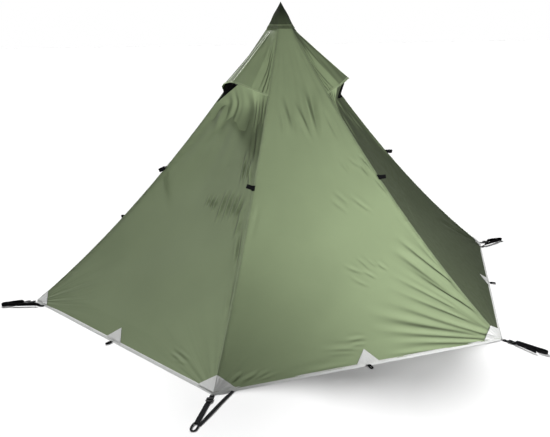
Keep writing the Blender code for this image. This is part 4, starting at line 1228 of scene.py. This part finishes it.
def vent_hood(face, word):
    """A hood's cloth and the lower cloth that runs from its mouth into the panel."""
    outward, sideways = face_axes(face)
    near, row = np.meshgrid(np.linspace(0, 1, 121), np.linspace(0, 1.02, 64))
    points = hood_points(face, near, row)
    wrinkle = 0.0010 * np.sin(near * 21 + row * 5) * np.sin(row * 3.1)
    wrinkle += 0.0007 * np.sin(near * 47 - row * 11) * row
    gather = 0.0024 * np.sin(near * 95 + row * 9) * smooth(near, 0.8, 0.86) * smooth(row, 0.2, 0.5)
    gather += 0.0012 * np.sin(row * 41 - near * 33) * smooth(near, 0.84, 0.9) * smooth(row, 0.3, 0.6)
    window = np.minimum(smooth(near, 0, 0.06), smooth(-near, -1, -0.96)) * smooth(row, 0, 0.2)
    points = points + ((wrinkle + gather) * window)[..., None] * (outward * 0.7 + UP * 0.7)
    edge = np.minimum(near, 1 - near) * hood_section(row)[1] * 2
    top = (points, np.stack([near * 0.3, row * 0.4], -1), edge)

    across = np.linspace(0.0, 1.0, 121)
    start = mouth_edge(face, across)
    sill, foot = sill_points(face, across), sill_points(face, across, 0.30, -0.0035)
    part = np.linspace(0, 1, 40)[:, None, None]
    fabric = start * (1 - part) ** 3 + sill * 3 * part * (1 - part) + foot * part**3
    run, fall = np.meshgrid(across, np.linspace(0, 1, 40))
    streak = np.zeros_like(run)
    for centre, width, depth, slant in HOOD_STREAKS:
        offset = (run - centre - slant * fall) / width
        streak += depth * (np.exp(-(offset**2)) - 0.5 * np.exp(-((np.abs(offset) - 1.9) ** 2)))
    window = np.minimum(smooth(run, 0, 0.1), smooth(-run, -1, -0.95))
    streak *= np.sin(np.pi * np.clip(fall * 1.02, 0, 1)) ** 0.7 * window
    fabric = fabric + streak[..., None] * (outward * 0.8 + UP * 0.5)
    lower = (fabric, np.stack([run * 0.3, 0.4 + fall * 0.25], -1), np.minimum(run, 1 - run) * 0.3)
    piece = cloth([top, lower], 0.0009, outward)
    done(piece, f"hood_{word}", "canopy", "hood", [f"vent_hood_{word}"])


def hood_trim(face, word):
    """Piping along a hood's rim, its two crease seams and the rim's stitches, the piping and seams painted
    paler as a highlight.
    """
    outward, sideways = face_axes(face)
    rim_line = hood_points(face, np.linspace(0.004, 0.996, 90), np.full(90, 1.015))
    rim_out = np.array([outward * 0.75 + UP * 0.66] * 90)
    rim_across = np.cross(np.gradient(rim_line, axis=0), rim_out)
    piping = band(rim_line + rim_out * 0.0006, rim_across, 0.012, 0.0026)
    pieces = [piping]
    for place_share in (0.5, 0.37):
        seam_line = hood_points(face, np.full(50, place_share), np.linspace(0.03, 0.99, 50))
        pieces.append(band(seam_line + UP * 0.0007, [sideways] * 50, 0.005, 0.0016))
    name = f"hood_seams_{word}"
    # The piping and crease seams take the olive painted paler, a painted highlight.
    done(join(pieces), name, "canopy", "painted highlight seam")
    rows = [(rim_line + rim_out * 0.0018, rim_out, 0.0045, 0.007)]
    stitches(f"hood_stitching_{word}", rows, "canopy", "thread")


def vent_net(face, word):
    """The net across a vent's mouth."""
    outward, _ = face_axes(face)
    near = np.linspace(0, MOUTHS[face][1], 44)
    upper = hood_points(face, near, np.full_like(near, HOOD_RIM), 0.0035)
    part = np.linspace(0, 1, 30)[:, None, None]
    net = upper[None] * (1 - part) + mouth_edge(face, near)[None] * part
    run, fall = np.meshgrid(np.linspace(0, 1, 44), np.linspace(0, 1, 30))
    bag = 0.003 + (0.003 if face == 0 else -0.009) * np.sin(np.pi * fall) * smooth(run, 0, 0.4)
    net = net - bag[..., None] * outward
    grid = (net, np.stack([run * 0.19, fall * 0.11], -1), np.full_like(run, 0.03))
    piece = cloth([grid], 0.0004, outward)
    done(piece, f"net_{word}", "canopy", "net", [f"vent_mesh_{word}"])


def vent_prop(face, word):
    """The stiff strip that hangs from a hood's tip."""
    outward, sideways = face_axes(face)
    tip = hood_points(face, 0.5, 1.0)
    foot = sill_points(face, np.array([0.5]))[0]
    down = (foot - tip) / np.linalg.norm(foot - tip)
    inward = np.cross(sideways, down)
    inward = inward if inward @ outward < 0 else -inward
    hang = tip + inward * 0.014 + down * 0.012
    line = np.array([hang + down * s for s in np.linspace(0, 0.105, 24)])
    prop = band(line, [sideways] * 24, 0.019, 0.002)
    done(prop, f"prop_strip_{word}", f"prop_{word}", "stiffener", [f"vent_prop_{word}"])


def make_vents():
    for face, word in VENTS.items():
        vent_hood(face, word)
        hood_trim(face, word)
        vent_net(face, word)
        vent_prop(face, word)


# Hem, patches and seams


def hem_tape():
    """The pale binding round the foot, with its row of stitches."""
    sizes = tent_sizes()
    apothem = sizes.corner_radius * COS30
    lean = (ridge(SKIRT)[0] - sizes.corner_radius) * COS30 / ridge(SKIRT)[1]
    section = []
    for outside, height in ((0, 0.0), (0.0004, 0.002), (0.0006, 0.006), (0.0003, 0.0105), (-0.0006, 0.0112)):
        section.append((outside + lean * height, height))
    for outside, height in ((-0.0024, 0.0105), (-0.003, 0.006), (-0.0028, 0.0004)):
        section.append((outside + lean * height, height))

    def at(face, side_share):
        outward, sideways = face_axes(face)
        ring = []
        for a, z in section:
            ring.append(outward * (apothem + a) + sideways * side_share * (apothem + a) / COS30 / 2 + UP * z)
        return ring

    rings = []
    start = -(ZIP_EDGE + ZIP_TAPE + 0.001) / (sizes.corner_radius / 2)
    rings += [at(DOOR_FACE, s) for s in np.linspace(start, -1, 40)]
    for face in (3, 2, 1, 0, 5):
        rings += [at(face, s) for s in np.linspace(1, -1, 70)[1:]]
    end = (DOOR_HALF + 0.0004) / (sizes.corner_radius / 2)
    rings += [at(DOOR_FACE, s) for s in np.linspace(1, end, 10)[1:]]
    done(loft(rings), "hem_tape", "canopy", "tape", ["hem_binding"])
    line = [np.array(ring[2]) * 0.5 + np.array(ring[3]) * 0.5 for ring in rings]
    normals = []
    for point in line:
        flat = np.array((point[0], point[1], 0))
        normals.append(flat / np.linalg.norm(flat) * 0.6 + UP * 0.8)
    stitches("hem_stitching", [(line, normals, 0.005, 0.008)], "canopy", "pale thread")


def corner_patch(index, letter):
    """A patch over a hem corner, in two leaves that meet on the ridge, with its stitches."""
    grids, rows = [], []
    for face, column_side in ((index, 0), ((index - 1) % 6, 1)):
        part, rise = np.meshgrid(np.linspace(0, 1, 22), np.linspace(0, 1, 16))
        height = PATCH_BOTTOM + (PATCH_TOP - PATCH_BOTTOM) * rise
        share = share_at(height)
        radius = ridge(share)[0]
        reach = 0.1 * (1 - rise) + 0.0004
        distance = reach * part
        column = distance / radius if column_side == 0 else 1 - distance / radius
        if face == DOOR_FACE:
            points = door_patch(distance, height, column_side)
        else:
            pleats = pleat_relief(letter, column_side, distance, height)
            points, _ = canopy_point(face, column, share, 0.0022)
            outward, _ = face_axes(face)
            points = points + pleats[..., None] * (outward * PATCH_OUT + UP * PATCH_UP)
        spine = ridge(share[:, 0])
        points[:, 0] = np.outer(spine[0] + 0.0028, corner_direction(index)) + np.outer(spine[1] + 0.0022, UP)
        sign = 1 if column_side == 0 else -1
        uv = np.stack([sign * distance, height * 1.6], -1)
        grids.append((points, uv, distance))
        hem_row, slant = points[1], points[:, -1]
        outward, _ = face_axes(face)
        normal = outward * PATCH_OUT + UP * PATCH_UP
        centre = points.mean((0, 1))
        for line, inset in ((slant, 0.07), (hem_row, 0.03)):
            thread = line + (centre - line) * inset + normal * 0.0004
            rows.append((thread, [normal] * len(line), 0.004, 0.0065))
    piece = cloth(grids, 0.0009, corner_direction(index) + UP)
    area = piece["flat_area"]
    name = f"corner_patch_cloth_{letter}"
    done(piece, name, "canopy", "patch", [f"corner_patch_{letter}"])
    area = min(max(area, 0.0048), 0.016)
    stitches(f"corner_patch_stitching_{letter}", rows, "canopy", "pale thread")


def side_patch(face, word):
    """The three-cornered patch at the middle of a side, with its stitches."""
    part, rise = np.meshgrid(np.linspace(-1, 1, 31), np.linspace(0, 1, 16))
    height = PATCH_BOTTOM + (PATCH_TOP - PATCH_BOTTOM) * rise
    share = share_at(height)
    distance = 0.0595 * (1 - rise) * part
    column = 0.5 + distance / ridge(share)[0]
    points, _ = canopy_point(face, column, share, 0.0018)
    outward, _ = face_axes(face)
    normal = outward * PATCH_OUT + UP * PATCH_UP
    lift = 0.0012 * np.sin(part * 9) * (1 - rise) * 0.5
    points = points + np.abs(lift)[..., None] * normal
    grid = (points, np.stack([distance, height * 1.6], -1), np.full_like(part, 0.03))
    piece = cloth([grid], 0.0009, outward)
    area = piece["flat_area"]
    name = f"side_patch_cloth_{word}"
    done(piece, name, "canopy", "patch", [f"side_patch_{word}"])
    area = min(max(area, 0.0026), 0.0084)
    centre = points[5, 15]
    rows = []
    for line in (points[:, 0], points[:, -1], points[1]):
        rows.append((line + (centre - line) * 0.1 + normal * 0.0008, [normal] * len(line), 0.004, 0.0065))
    stitches(f"side_patch_stitching_{word}", rows, "canopy", "pale thread")


def pleat_relief(letter, column_side, distance, height):
    """Pleats that fan out of a patch's corner."""
    angle = np.arctan2(height * 1.55, np.maximum(distance, 1e-4))
    reach = np.hypot(height * 1.55, distance)
    deep = 0.0042 if (letter, column_side) in (("B", 0), ("C", 1)) else 0.0008
    pleats = deep * np.abs(np.sin(angle * 10 + column_side))
    return pleats * smooth(reach, 0.012, 0.05) * smooth(distance, 0, 0.012)


def door_patch(distance, height, column_side):
    """A corner patch's cloth on the door's face, which stands a little prouder than the others."""
    outward, sideways = face_axes(DOOR_FACE)
    radius = ridge(share_at(height))[0]
    half = radius / 2
    share = np.clip(distance / (half - DOOR_HALF), 0, 1)
    apothem = radius * COS30 + (door_apothem(height) - radius * COS30) * share + 0.0022
    side = (half - distance) * (-1 if column_side == 0 else 1)
    return apothem[..., None] * outward + side[..., None] * sideways + (height + 0.0006)[..., None] * UP


def make_hem():
    """The hem tape and the grey patches."""
    hem_tape()
    for index, letter in enumerate(CORNERS):
        corner_patch(index, letter)
    for face, word in SIDE_LOOPS.items():
        side_patch(face, word)


def make_seams():
    """The felled seams on the ridges, each with two rows of stitches."""
    rows_of_thread = []
    for index, letter in enumerate(CORNERS):
        direction = corner_direction(index)
        around = np.cross(UP, direction)
        shares = np.linspace(0.002, float(share_at(0.054)), 150)
        radius, height = ridge(shares)
        waver = 0.0005 * np.sin(height * 60) + 0.0004 * np.sin(height * 101 + index)
        line = np.outer(radius, direction) + np.outer(height, UP)
        ahead = unit(np.gradient(line, axis=0))
        out = np.cross(ahead, np.broadcast_to(around, ahead.shape))
        out = np.where((out[:, 2] < 0)[:, None], -out, out)
        rings = []
        for point, lift, wave in zip(line, out, waver):
            ring = [point + around * (side + wave) + lift * (level + 0.0006) for side, level in SEAM_SECTION]
            rings.append(ring)
        done(loft(rings), f"ridge_seam_{letter}", "canopy", "seam")
        for offset in (-0.0075, 0.0075):
            thread = line + around * offset - out * 0.0022
            rows_of_thread.append((thread, out, 0.005, 0.009))
    stitches("ridge_stitching", rows_of_thread, "canopy", "thread")


# Webbing and buckles


def ring_band(centre, first, second, normal, half_long, half_wide, width, thickness, lift=None):
    """A flat loop of webbing round an eye."""
    angles = np.linspace(0, 2 * pi, 41)[:-1]
    path, wide = [], []
    for angle in angles:
        x = half_long * np.sign(cos(angle)) * abs(cos(angle)) ** 0.7
        y = half_wide * np.sign(sin(angle)) * abs(sin(angle)) ** 0.7
        height = 0.0 if lift is None else lift(angle)
        path.append(centre + first * x + second * y + normal * height)
        wide.append(first * cos(angle) * half_wide + second * sin(angle) * half_long)
    return band(path, wide, width, thickness, True)


def ridge_tab(letter, index):
    """A loop of webbing sewn into a ridge seam: its foot, its two strands and the round end."""
    direction = corner_direction(index)
    around = np.cross(UP, direction)
    radius, height = ridge(TAB_SHARE)
    ahead = np.array(ridge(TAB_SHARE + 0.01)) - np.array(ridge(TAB_SHARE))
    down = direction * ahead[0] + UP * ahead[1]
    down /= np.linalg.norm(down)
    out = np.cross(down, around)
    out = out if out[2] > 0 else -out
    base = direction * radius + UP * height + out * 0.001
    droop, aside = (radians(angle) for angle in TAB_DROOPS[letter])
    along = out * cos(aside) + around * sin(aside)
    side = around * cos(aside) - out * sin(aside)
    wide = down * cos(droop) - along * sin(droop)
    along = along * cos(droop) + down * sin(droop)
    root = base + out * 0.002
    angles = np.linspace(-0.5 * pi, 0.5 * pi, 15)
    path = [root + along * x - side * 0.0042 for x in np.linspace(-0.001, 0.032, 10)[:-1]]
    path += [root + along * (0.032 + 0.0042 * cos(a)) + side * 0.0042 * sin(a) for a in angles]
    path += [root + along * x + side * 0.0042 for x in np.linspace(0.032, -0.001, 10)[1:]]
    loop = band(path, [wide] * len(path), 0.0205, 0.0026)
    spots = [base + out * 0.0022 + down * s for s in np.linspace(-0.015, 0.015, 12)]
    foot = band(spots, [around] * 12, 0.017, 0.003)
    fill = band([root + along * x for x in np.linspace(-0.003, 0.010, 8)], [wide] * 8, 0.0195, 0.0068)
    tab = join([loop, foot, fill])
    tidy_shell(tab)
    done(tab, f"ridge_tab_loop_{letter}", "canopy", "webbing", [f"ridge_tab_{letter}"])


def side_loop(face, word):
    """A peg loop at the middle of a side: webbing on its edge, sewn to the hem by a flat tail."""
    outward, sideways = face_axes(face)
    base = outward * (tent_sizes().corner_radius * COS30 + 0.0004)
    centre = base + outward * 0.0195 + UP * 0.0042
    loop = ring_band(centre, outward, sideways, UP, 0.0135, 0.0062, 0.0078, 0.0056)
    spots = [base + outward * s + UP * (0.0042 - 0.06 * s) for s in np.linspace(0.0006, 0.012, 6)]
    tail = band(spots, [sideways] * 6, 0.0195, 0.003)
    piece = join([loop, tail])
    tidy_shell(piece)
    done(piece, f"side_loop_web_{word}", "canopy", "webbing", [f"side_loop_{word}"])


def corner_strap(index, letter):
    """A corner's peg strap: the main band through the buckle to its eye, and the second band beside it."""
    outward = corner_direction(index)
    braced = np.cross(UP, outward) * BRACE_SIDES[index]
    centre = outward * tent_sizes().corner_radius
    middle = STRAP_REACHES[index] - 0.030
    twist = radians(STRAP_TWISTS[letter])
    spots = [(0.0015, 0.0024), (0.012, 0.0016), (0.026, 0.0016), (0.031, 0.003), (0.036, 0.0046)]
    spots += [(0.046, 0.0046), (0.052, 0.003), (0.058, 0.0018), (0.085, 0.0024), (middle - 0.032, 0.0022)]
    xs = np.linspace(0.0015, middle - 0.018, 70)
    zs = np.interp(xs, [s[0] for s in spots], [s[1] for s in spots])
    zs = np.convolve(np.pad(zs, 3, mode="edge"), np.ones(7) / 7, mode="valid")
    on_edge = twist > 0.5
    flatten = 1.0 if on_edge else 1 - 0.75 * smooth(xs, middle - 0.05, middle - 0.018)
    turn = twist * smooth(xs, 0.055, 0.078) * flatten
    zs = zs + 0.5 * MAIN_WEB * np.sin(turn)
    path = [centre + outward * x + UP * z for x, z in zip(xs, zs)]
    wide = [braced * cos(a) - UP * sin(a) for a in turn]
    main = band(path, wide, MAIN_WEB, 0.0024)
    eye_centre = centre + outward * middle + UP * 0.0022
    if on_edge:
        rim = []
        for angle in np.linspace(0, 2 * pi, 41)[:-1]:
            x = 0.0262 * np.sign(cos(angle)) * abs(cos(angle)) ** 0.6
            y = 0.0118 * np.sign(sin(angle)) * abs(sin(angle)) ** 0.8
            rim.append(eye_centre + outward * x + braced * y + UP * 0.0078)
        eye = band(rim, [UP + braced * 0.15] * len(rim), 0.0175, 0.0032, True)
    else:
        eye_turn = twist * 0.25

        def eye_lift(angle):
            tilt = 0.014 * sin(eye_turn) * (1 - sin(angle)) * 0.5
            return 0.0012 - 0.0012 * cos(angle) + tilt

        eye = ring_band(eye_centre, outward, braced, UP, 0.0255, 0.0125, 0.0085, 0.003, eye_lift)
    if letter == "C":
        tail = [(0.058, 0.004), (0.09, 0.014), (0.13, 0.023), (0.165, 0.029), (0.185, 0.033)]
    else:
        tail = [(-0.0445, 0.0785), (0.3 * middle - 0.02, 0.055)]
        tail += [(0.62 * middle, 0.034), (middle - 0.012, 0.0142)]
    ts = np.linspace(0, 1, 50)
    knots = np.linspace(0, 1, len(tail))
    xs = np.interp(ts, knots, [t[0] for t in tail])
    ys = np.interp(ts, knots, [t[1] for t in tail])
    width = SECOND_WEB * (1.25 if on_edge else 1.0)
    turn = twist * smooth(ts, 0.06, 0.22) * (1.0 if on_edge else 1 - smooth(ts, 0.7, 1.0))
    zs = 0.0022 + 0.0012 * np.sin(np.pi * ts) + 0.5 * width * np.sin(turn)
    path = np.array([centre + outward * x + braced * y + UP * z for x, y, z in zip(xs, ys, zs)])
    ahead = np.gradient(path, axis=0)
    flat = unit(np.cross(ahead, np.broadcast_to(UP, ahead.shape)))
    wide = flat * np.cos(turn)[:, None] + UP * np.sin(turn)[:, None]
    second = band(path, wide, width, 0.0022)
    spots = [centre + outward * s + UP * 0.0038 for s in (0.001, 0.008, 0.015)]
    root = band(spots, [braced] * 3, 0.017, 0.0026)
    name = f"corner_strap_{letter}"
    piece = join([eye, main, second, root])
    tidy_shell(piece)
    done(piece, name, f"strap_{letter}", "webbing", [f"peg_loop_{letter}"])
    tacks = []
    for x in (0.004, 0.009):
        line = [centre + outward * x + braced * s + UP * 0.0054 for s in np.linspace(-0.007, 0.007, 8)]
        tacks.append((line, [UP] * 8, 0.0022, 0.003))
    stitches(f"strap_tacks_{letter}", tacks, f"strap_{letter}", "pale thread")


def make_webbing():
    """Ridge tabs, side loops and the corner straps."""
    for index, letter in enumerate(CORNERS):
        ridge_tab(letter, index)
        corner_strap(index, letter)
    for face, word in SIDE_LOOPS.items():
        side_loop(face, word)


def make_buckles():
    """A ladder-lock buckle, modelled once and copied to each corner."""
    body = block((0.0275, 0.0305, 0.0046), (0, 0, 0.0023), 0.0015)
    for x in (-0.0062, 0.0062):
        cutter = block((0.0068, 0.0218, 0.02), (x, 0, 0.002), 0.0008)
        apply_modifier(body, "slot", "BOOLEAN", object=cutter, operation="DIFFERENCE", solver="EXACT")
        bpy.data.objects.remove(cutter)
    bar = block((0.0042, 0.026, 0.0034), (0, 0, 0.0055), 0.0013)
    tongue = block((0.009, 0.02, 0.0026), (0.0165, 0, 0.0042), 0.001)
    ribs = [block((0.0012, 0.017, 0.001), (0.0145 + 0.0028 * k, 0, 0.0057), 0.0004, 1) for k in range(3)]
    model = join([body, bar, tongue, *ribs])
    shade_smooth(model, 40)
    for index, letter in enumerate(CORNERS):
        outward = corner_direction(index)
        braced = np.cross(UP, outward)
        piece = copy_of(model)
        centre = outward * (tent_sizes().corner_radius + 0.0415) + UP * 0.0029
        placed(piece, centre, outward, braced, UP)
        name = f"ladder_lock_{letter}"
        done(piece, name, f"strap_{letter}", "plastic", [f"corner_buckle_{letter}"])
    bpy.data.objects.remove(model)


# Pole


def pole_tube(outer, inner, low, high):
    """A tube with its upper edge eased."""
    profile = [(outer, low), (outer, high - 0.001), (outer - 0.0004, high)]
    return turned([*profile, (inner, high), (inner, low), (outer, low)], 40, True)


def make_pole():
    """Foot, two tubes, clamp with its lever, tip and cup."""
    apex = tent_sizes().apex_height
    foot = turned(
        [(0.0165, 0.0002), (0.0178, 0.0016), (0.018, 0.0075), (0.0165, 0.0095), (0.0168, 0.0115)]
        + [(0.013, 0.0165), (0.0128, 0.0185), (0.0106, 0.0212), (0.0088, 0.022)]
    )
    done(foot, "pole_foot_rubber", "pole_lower", "rubber", ["pole_foot"])
    lower = pole_tube(0.0095, 0.0083, 0.0222, 0.95)
    done(lower, "pole_tube_lower", "pole_lower", "alloy", ["pole_lower_tube"])
    top = apex - 0.12
    upper = pole_tube(0.011, 0.0098, 0.62, top)
    done(upper, "pole_tube_upper", "canopy", "alloy", ["pole_upper_tube"])
    collar = turned(
        [(0.0155, 0.6), (0.0163, 0.6012), (0.0163, 0.608), (0.0152, 0.6095), (0.0152, 0.6455)]
        + [(0.0163, 0.647), (0.0163, 0.6535), (0.0155, 0.655), (0.0113, 0.655), (0.0113, 0.6), (0.0155, 0.6)],
        48,
        True,
    )
    level = 0.6275
    lug = block((0.003, 0.0035, 0.024), (0.0158, -0.0125, level), 0.0008)
    done(join([collar, lug]), "clamp_collar", "canopy", "plastic", ["pole_clamp"])
    arm = block((0.0032, 0.0425, 0.026), (0.0185, 0.0088, level), 0.0013)
    tip_pad = block((0.0036, 0.008, 0.022), (0.0187, 0.0262, level), 0.0013)
    spots = [(0.0203, y, level) for y in (0.012, 0.0145, 0.017, 0.0195)]
    ribs = [block((0.0008, 0.0009, 0.018), spot, 0.0003, 1) for spot in spots]
    pin = turned([(0.0016, 0.6135), (0.0016, 0.6415)], 20)
    pin.data.transform(Matrix.Translation((0.0185, -0.012, 0)))
    lever = join([arm, tip_pad, pin, *ribs])
    done(lever, "clamp_arm", "lever", "plastic", ["clamp_lever"])
    start = top + 0.0004
    tip = turned(
        [(0.0105, start), (0.011, start + 0.001), (0.011, start + 0.0165), (0.0098, start + 0.018)]
        + [(0.0062, start + 0.0185), (0.006, start + 0.066), (0.0048, start + 0.0692), (0.002, apex - 0.0501)]
    )
    done(tip, "pole_tip_plastic", "canopy", "plastic", ["pole_tip"])
    base, crown = apex - 0.0839, apex - 0.0305
    wide, narrow = 0.0385, 0.0135
    cup = turned(
        [(wide - 0.001, base), (wide, base + 0.0012), (narrow + 0.001, crown - 0.001), (narrow, crown)]
        + [(0.002, crown), (0.002, apex - 0.0494), (0.0063, apex - 0.0496), (0.0064, base)]
        + [(wide - 0.001, base)],
        48,
        True,
    )
    done(cup, "pole_cup_rubber", "canopy", "rubber", ["pole_cup"])


# Stage


def make_stage():
    """Camera, floor, lamps and world."""
    scene = bpy.context.scene
    scene.view_settings.view_transform = "Standard"
    camera_data = bpy.data.cameras.new("camera")
    camera = bpy.data.objects.new("camera", camera_data)
    scene.collection.objects.link(camera)
    camera_data.sensor_width = SENSOR
    camera_data.lens = 651.6 / PICTURE_WIDTH * SENSOR
    camera_data.shift_x = -25.6 / PICTURE_WIDTH
    camera_data.shift_y = 14.6 / PICTURE_WIDTH
    camera.location = (-1.218, -3.748, 1.581)
    camera.rotation_euler = (radians(90 - 18.71), 0, radians(-18) - 0.029)
    scene.camera = camera

    deselect()
    bpy.ops.mesh.primitive_plane_add(size=60, location=(0, 0, -0.0005))
    floor = bpy.context.object
    floor.name = "floor"
    made, tree, shader, _ = new_finish("pale floor")
    set_plain(shader, Roughness=0.9, Specular_IOR_Level=0.0, Emission_Color=(1, 1, 1, 1))
    path = place(tree, "ShaderNodeLightPath").outputs
    dim = mixed(tree, path["Is Glossy Ray"], (0.86, 0.86, 0.86, 1), (0.12, 0.12, 0.12, 1))
    wire(tree, shader, Base_Color=dim, Emission_Strength=times(tree, path["Is Camera Ray"], FLOOR_GLOW))
    floor.data.materials.append(made)

    world = bpy.data.worlds.new("studio")
    scene.world = world
    world.use_nodes = True
    tree = world.node_tree
    tree.nodes.clear()
    path = tree.nodes.new("ShaderNodeLightPath")
    soft = place(tree, "ShaderNodeBackground", {"Color": (1, 1, 1, 1), "Strength": WORLD_LIGHT})
    white = place(tree, "ShaderNodeBackground", {"Color": (1, 1, 1, 1), "Strength": 1.0})
    values = {0: path.outputs["Is Camera Ray"], 1: soft.outputs[0], 2: white.outputs[0]}
    seen = place(tree, "ShaderNodeMixShader", values)
    out = tree.nodes.new("ShaderNodeOutputWorld")
    tree.links.new(seen.outputs[0], out.inputs[0])

    for name, kind, spot, aim, power, size, spread in LAMPS:
        lamp_data = bpy.data.lights.new(name, kind)
        lamp_data.energy = power
        if kind == "SUN":
            lamp_data.angle = size
        else:
            lamp_data.size = size
            lamp_data.spread = radians(spread)
        lamp = bpy.data.objects.new(name, lamp_data)
        scene.collection.objects.link(lamp)
        lamp.location = spot
        lamp.rotation_mode = "QUATERNION"
        lamp.rotation_quaternion = (Vector(spot) - Vector(aim)).to_track_quat("Z", "Y")
        lamp.visible_camera = False


# Add-on


class TentSizes(bpy.types.PropertyGroup):
    corner_radius: bpy.props.FloatProperty(
        name="Corner radius", description="From the pole to a hem corner", default=1.5, unit="LENGTH"
    )
    apex_height: bpy.props.FloatProperty(
        name="Apex height", description="From the ground to the top of the cap", default=1.64, unit="LENGTH"
    )
    cloth_thickness: bpy.props.FloatProperty(
        name="Cloth thickness", description="Thickness of the canopy's sheets", default=0.0008, unit="LENGTH"
    )
    fold_strength: bpy.props.FloatProperty(
        name="Fold strength",
        description="Depth of the pulled folds, as a share",
        default=1.0,
        subtype="FACTOR",
    )


def colour_property(name, description, default):
    return bpy.props.FloatVectorProperty(
        name=name, description=description, default=default, size=4, subtype="COLOR", min=0, max=1
    )


class TentColours(bpy.types.PropertyGroup):
    cloth: colour_property("Cloth", "Olive of the coated cloth", (0.26, 0.3245, 0.184, 1))
    cap: colour_property("Cap", "Dark coated cloth of the cap", (0.024, 0.032, 0.018, 1))
    patch: colour_property("Patches", "Pale grey of the patches and tape", (0.74, 0.75, 0.735, 1))
    webbing: colour_property("Webbing", "Black of the straps", (0.005, 0.005, 0.006, 1))


class TENT_OT_panels(bpy.types.Operator):
    """Sews the five plain and vented panels"""

    bl_idname = "tent.panels"
    bl_label = "Canopy panels"

    def execute(self, context):
        make_panels()
        return {"FINISHED"}


class TENT_OT_door(bpy.types.Operator):
    """Builds the door panel, its flap and its zip"""

    bl_idname = "tent.door"
    bl_label = "Door"

    def execute(self, context):
        make_door()
        return {"FINISHED"}


class TENT_OT_cap(bpy.types.Operator):
    """Builds the dark cap over the apex"""

    bl_idname = "tent.cap"
    bl_label = "Cap"

    def execute(self, context):
        make_cap()
        return {"FINISHED"}


class TENT_OT_vents(bpy.types.Operator):
    """Builds both hoods with their nets and props"""

    bl_idname = "tent.vents"
    bl_label = "Vents"

    def execute(self, context):
        make_vents()
        return {"FINISHED"}


class TENT_OT_hem(bpy.types.Operator):
    """Builds the hem tape and the pale patches"""

    bl_idname = "tent.hem"
    bl_label = "Hem and patches"

    def execute(self, context):
        make_hem()
        return {"FINISHED"}


class TENT_OT_seams(bpy.types.Operator):
    """Builds the felled seams and their stitches"""

    bl_idname = "tent.seams"
    bl_label = "Ridge seams"

    def execute(self, context):
        make_seams()
        return {"FINISHED"}


class TENT_OT_webbing(bpy.types.Operator):
    """Builds the ridge tabs, side loops and corner straps"""

    bl_idname = "tent.webbing"
    bl_label = "Webbing"

    def execute(self, context):
        make_webbing()
        return {"FINISHED"}


class TENT_OT_buckles(bpy.types.Operator):
    """Builds the ladder-lock buckles"""

    bl_idname = "tent.buckles"
    bl_label = "Buckles"

    def execute(self, context):
        make_buckles()
        return {"FINISHED"}


class TENT_OT_pole(bpy.types.Operator):
    """Builds the pole with its clamp, tip and cup"""

    bl_idname = "tent.pole"
    bl_label = "Pole"

    def execute(self, context):
        make_pole()
        return {"FINISHED"}


class TENT_OT_stage(bpy.types.Operator):
    """Adds the camera, floor and lamps"""

    bl_idname = "tent.stage"
    bl_label = "Stage"

    def execute(self, context):
        make_stage()
        return {"FINISHED"}


OPERATORS = (
    TENT_OT_panels,
    TENT_OT_door,
    TENT_OT_cap,
    TENT_OT_vents,
    TENT_OT_hem,
    TENT_OT_seams,
    TENT_OT_webbing,
    TENT_OT_buckles,
    TENT_OT_pole,
    TENT_OT_stage,
)


class TENT_PT_sidebar(bpy.types.Panel):
    bl_label = "Pyramid tent"
    bl_space_type = "VIEW_3D"
    bl_region_type = "UI"
    bl_category = "Tent"

    def draw(self, context):
        for group in (context.scene.tent_sizes, context.scene.tent_colours):
            for key in group.__annotations__:
                self.layout.prop(group, key)
        for kind in OPERATORS:
            self.layout.operator(kind.bl_idname)


CLASSES = (TentSizes, TentColours, *OPERATORS, TENT_PT_sidebar)


def register():
    for kind in CLASSES:
        bpy.utils.register_class(kind)
    bpy.types.Scene.tent_sizes = bpy.props.PointerProperty(type=TentSizes)
    bpy.types.Scene.tent_colours = bpy.props.PointerProperty(type=TentColours)


def unregister():
    del bpy.types.Scene.tent_colours
    del bpy.types.Scene.tent_sizes
    for kind in reversed(CLASSES):
        bpy.utils.unregister_class(kind)


def main():
    register()
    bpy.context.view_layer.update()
    for kind in OPERATORS:
        getattr(bpy.ops.tent, kind.bl_idname.split(".")[1])()
    bpy.context.view_layer.update()


if __name__ == "__main__":
    main()
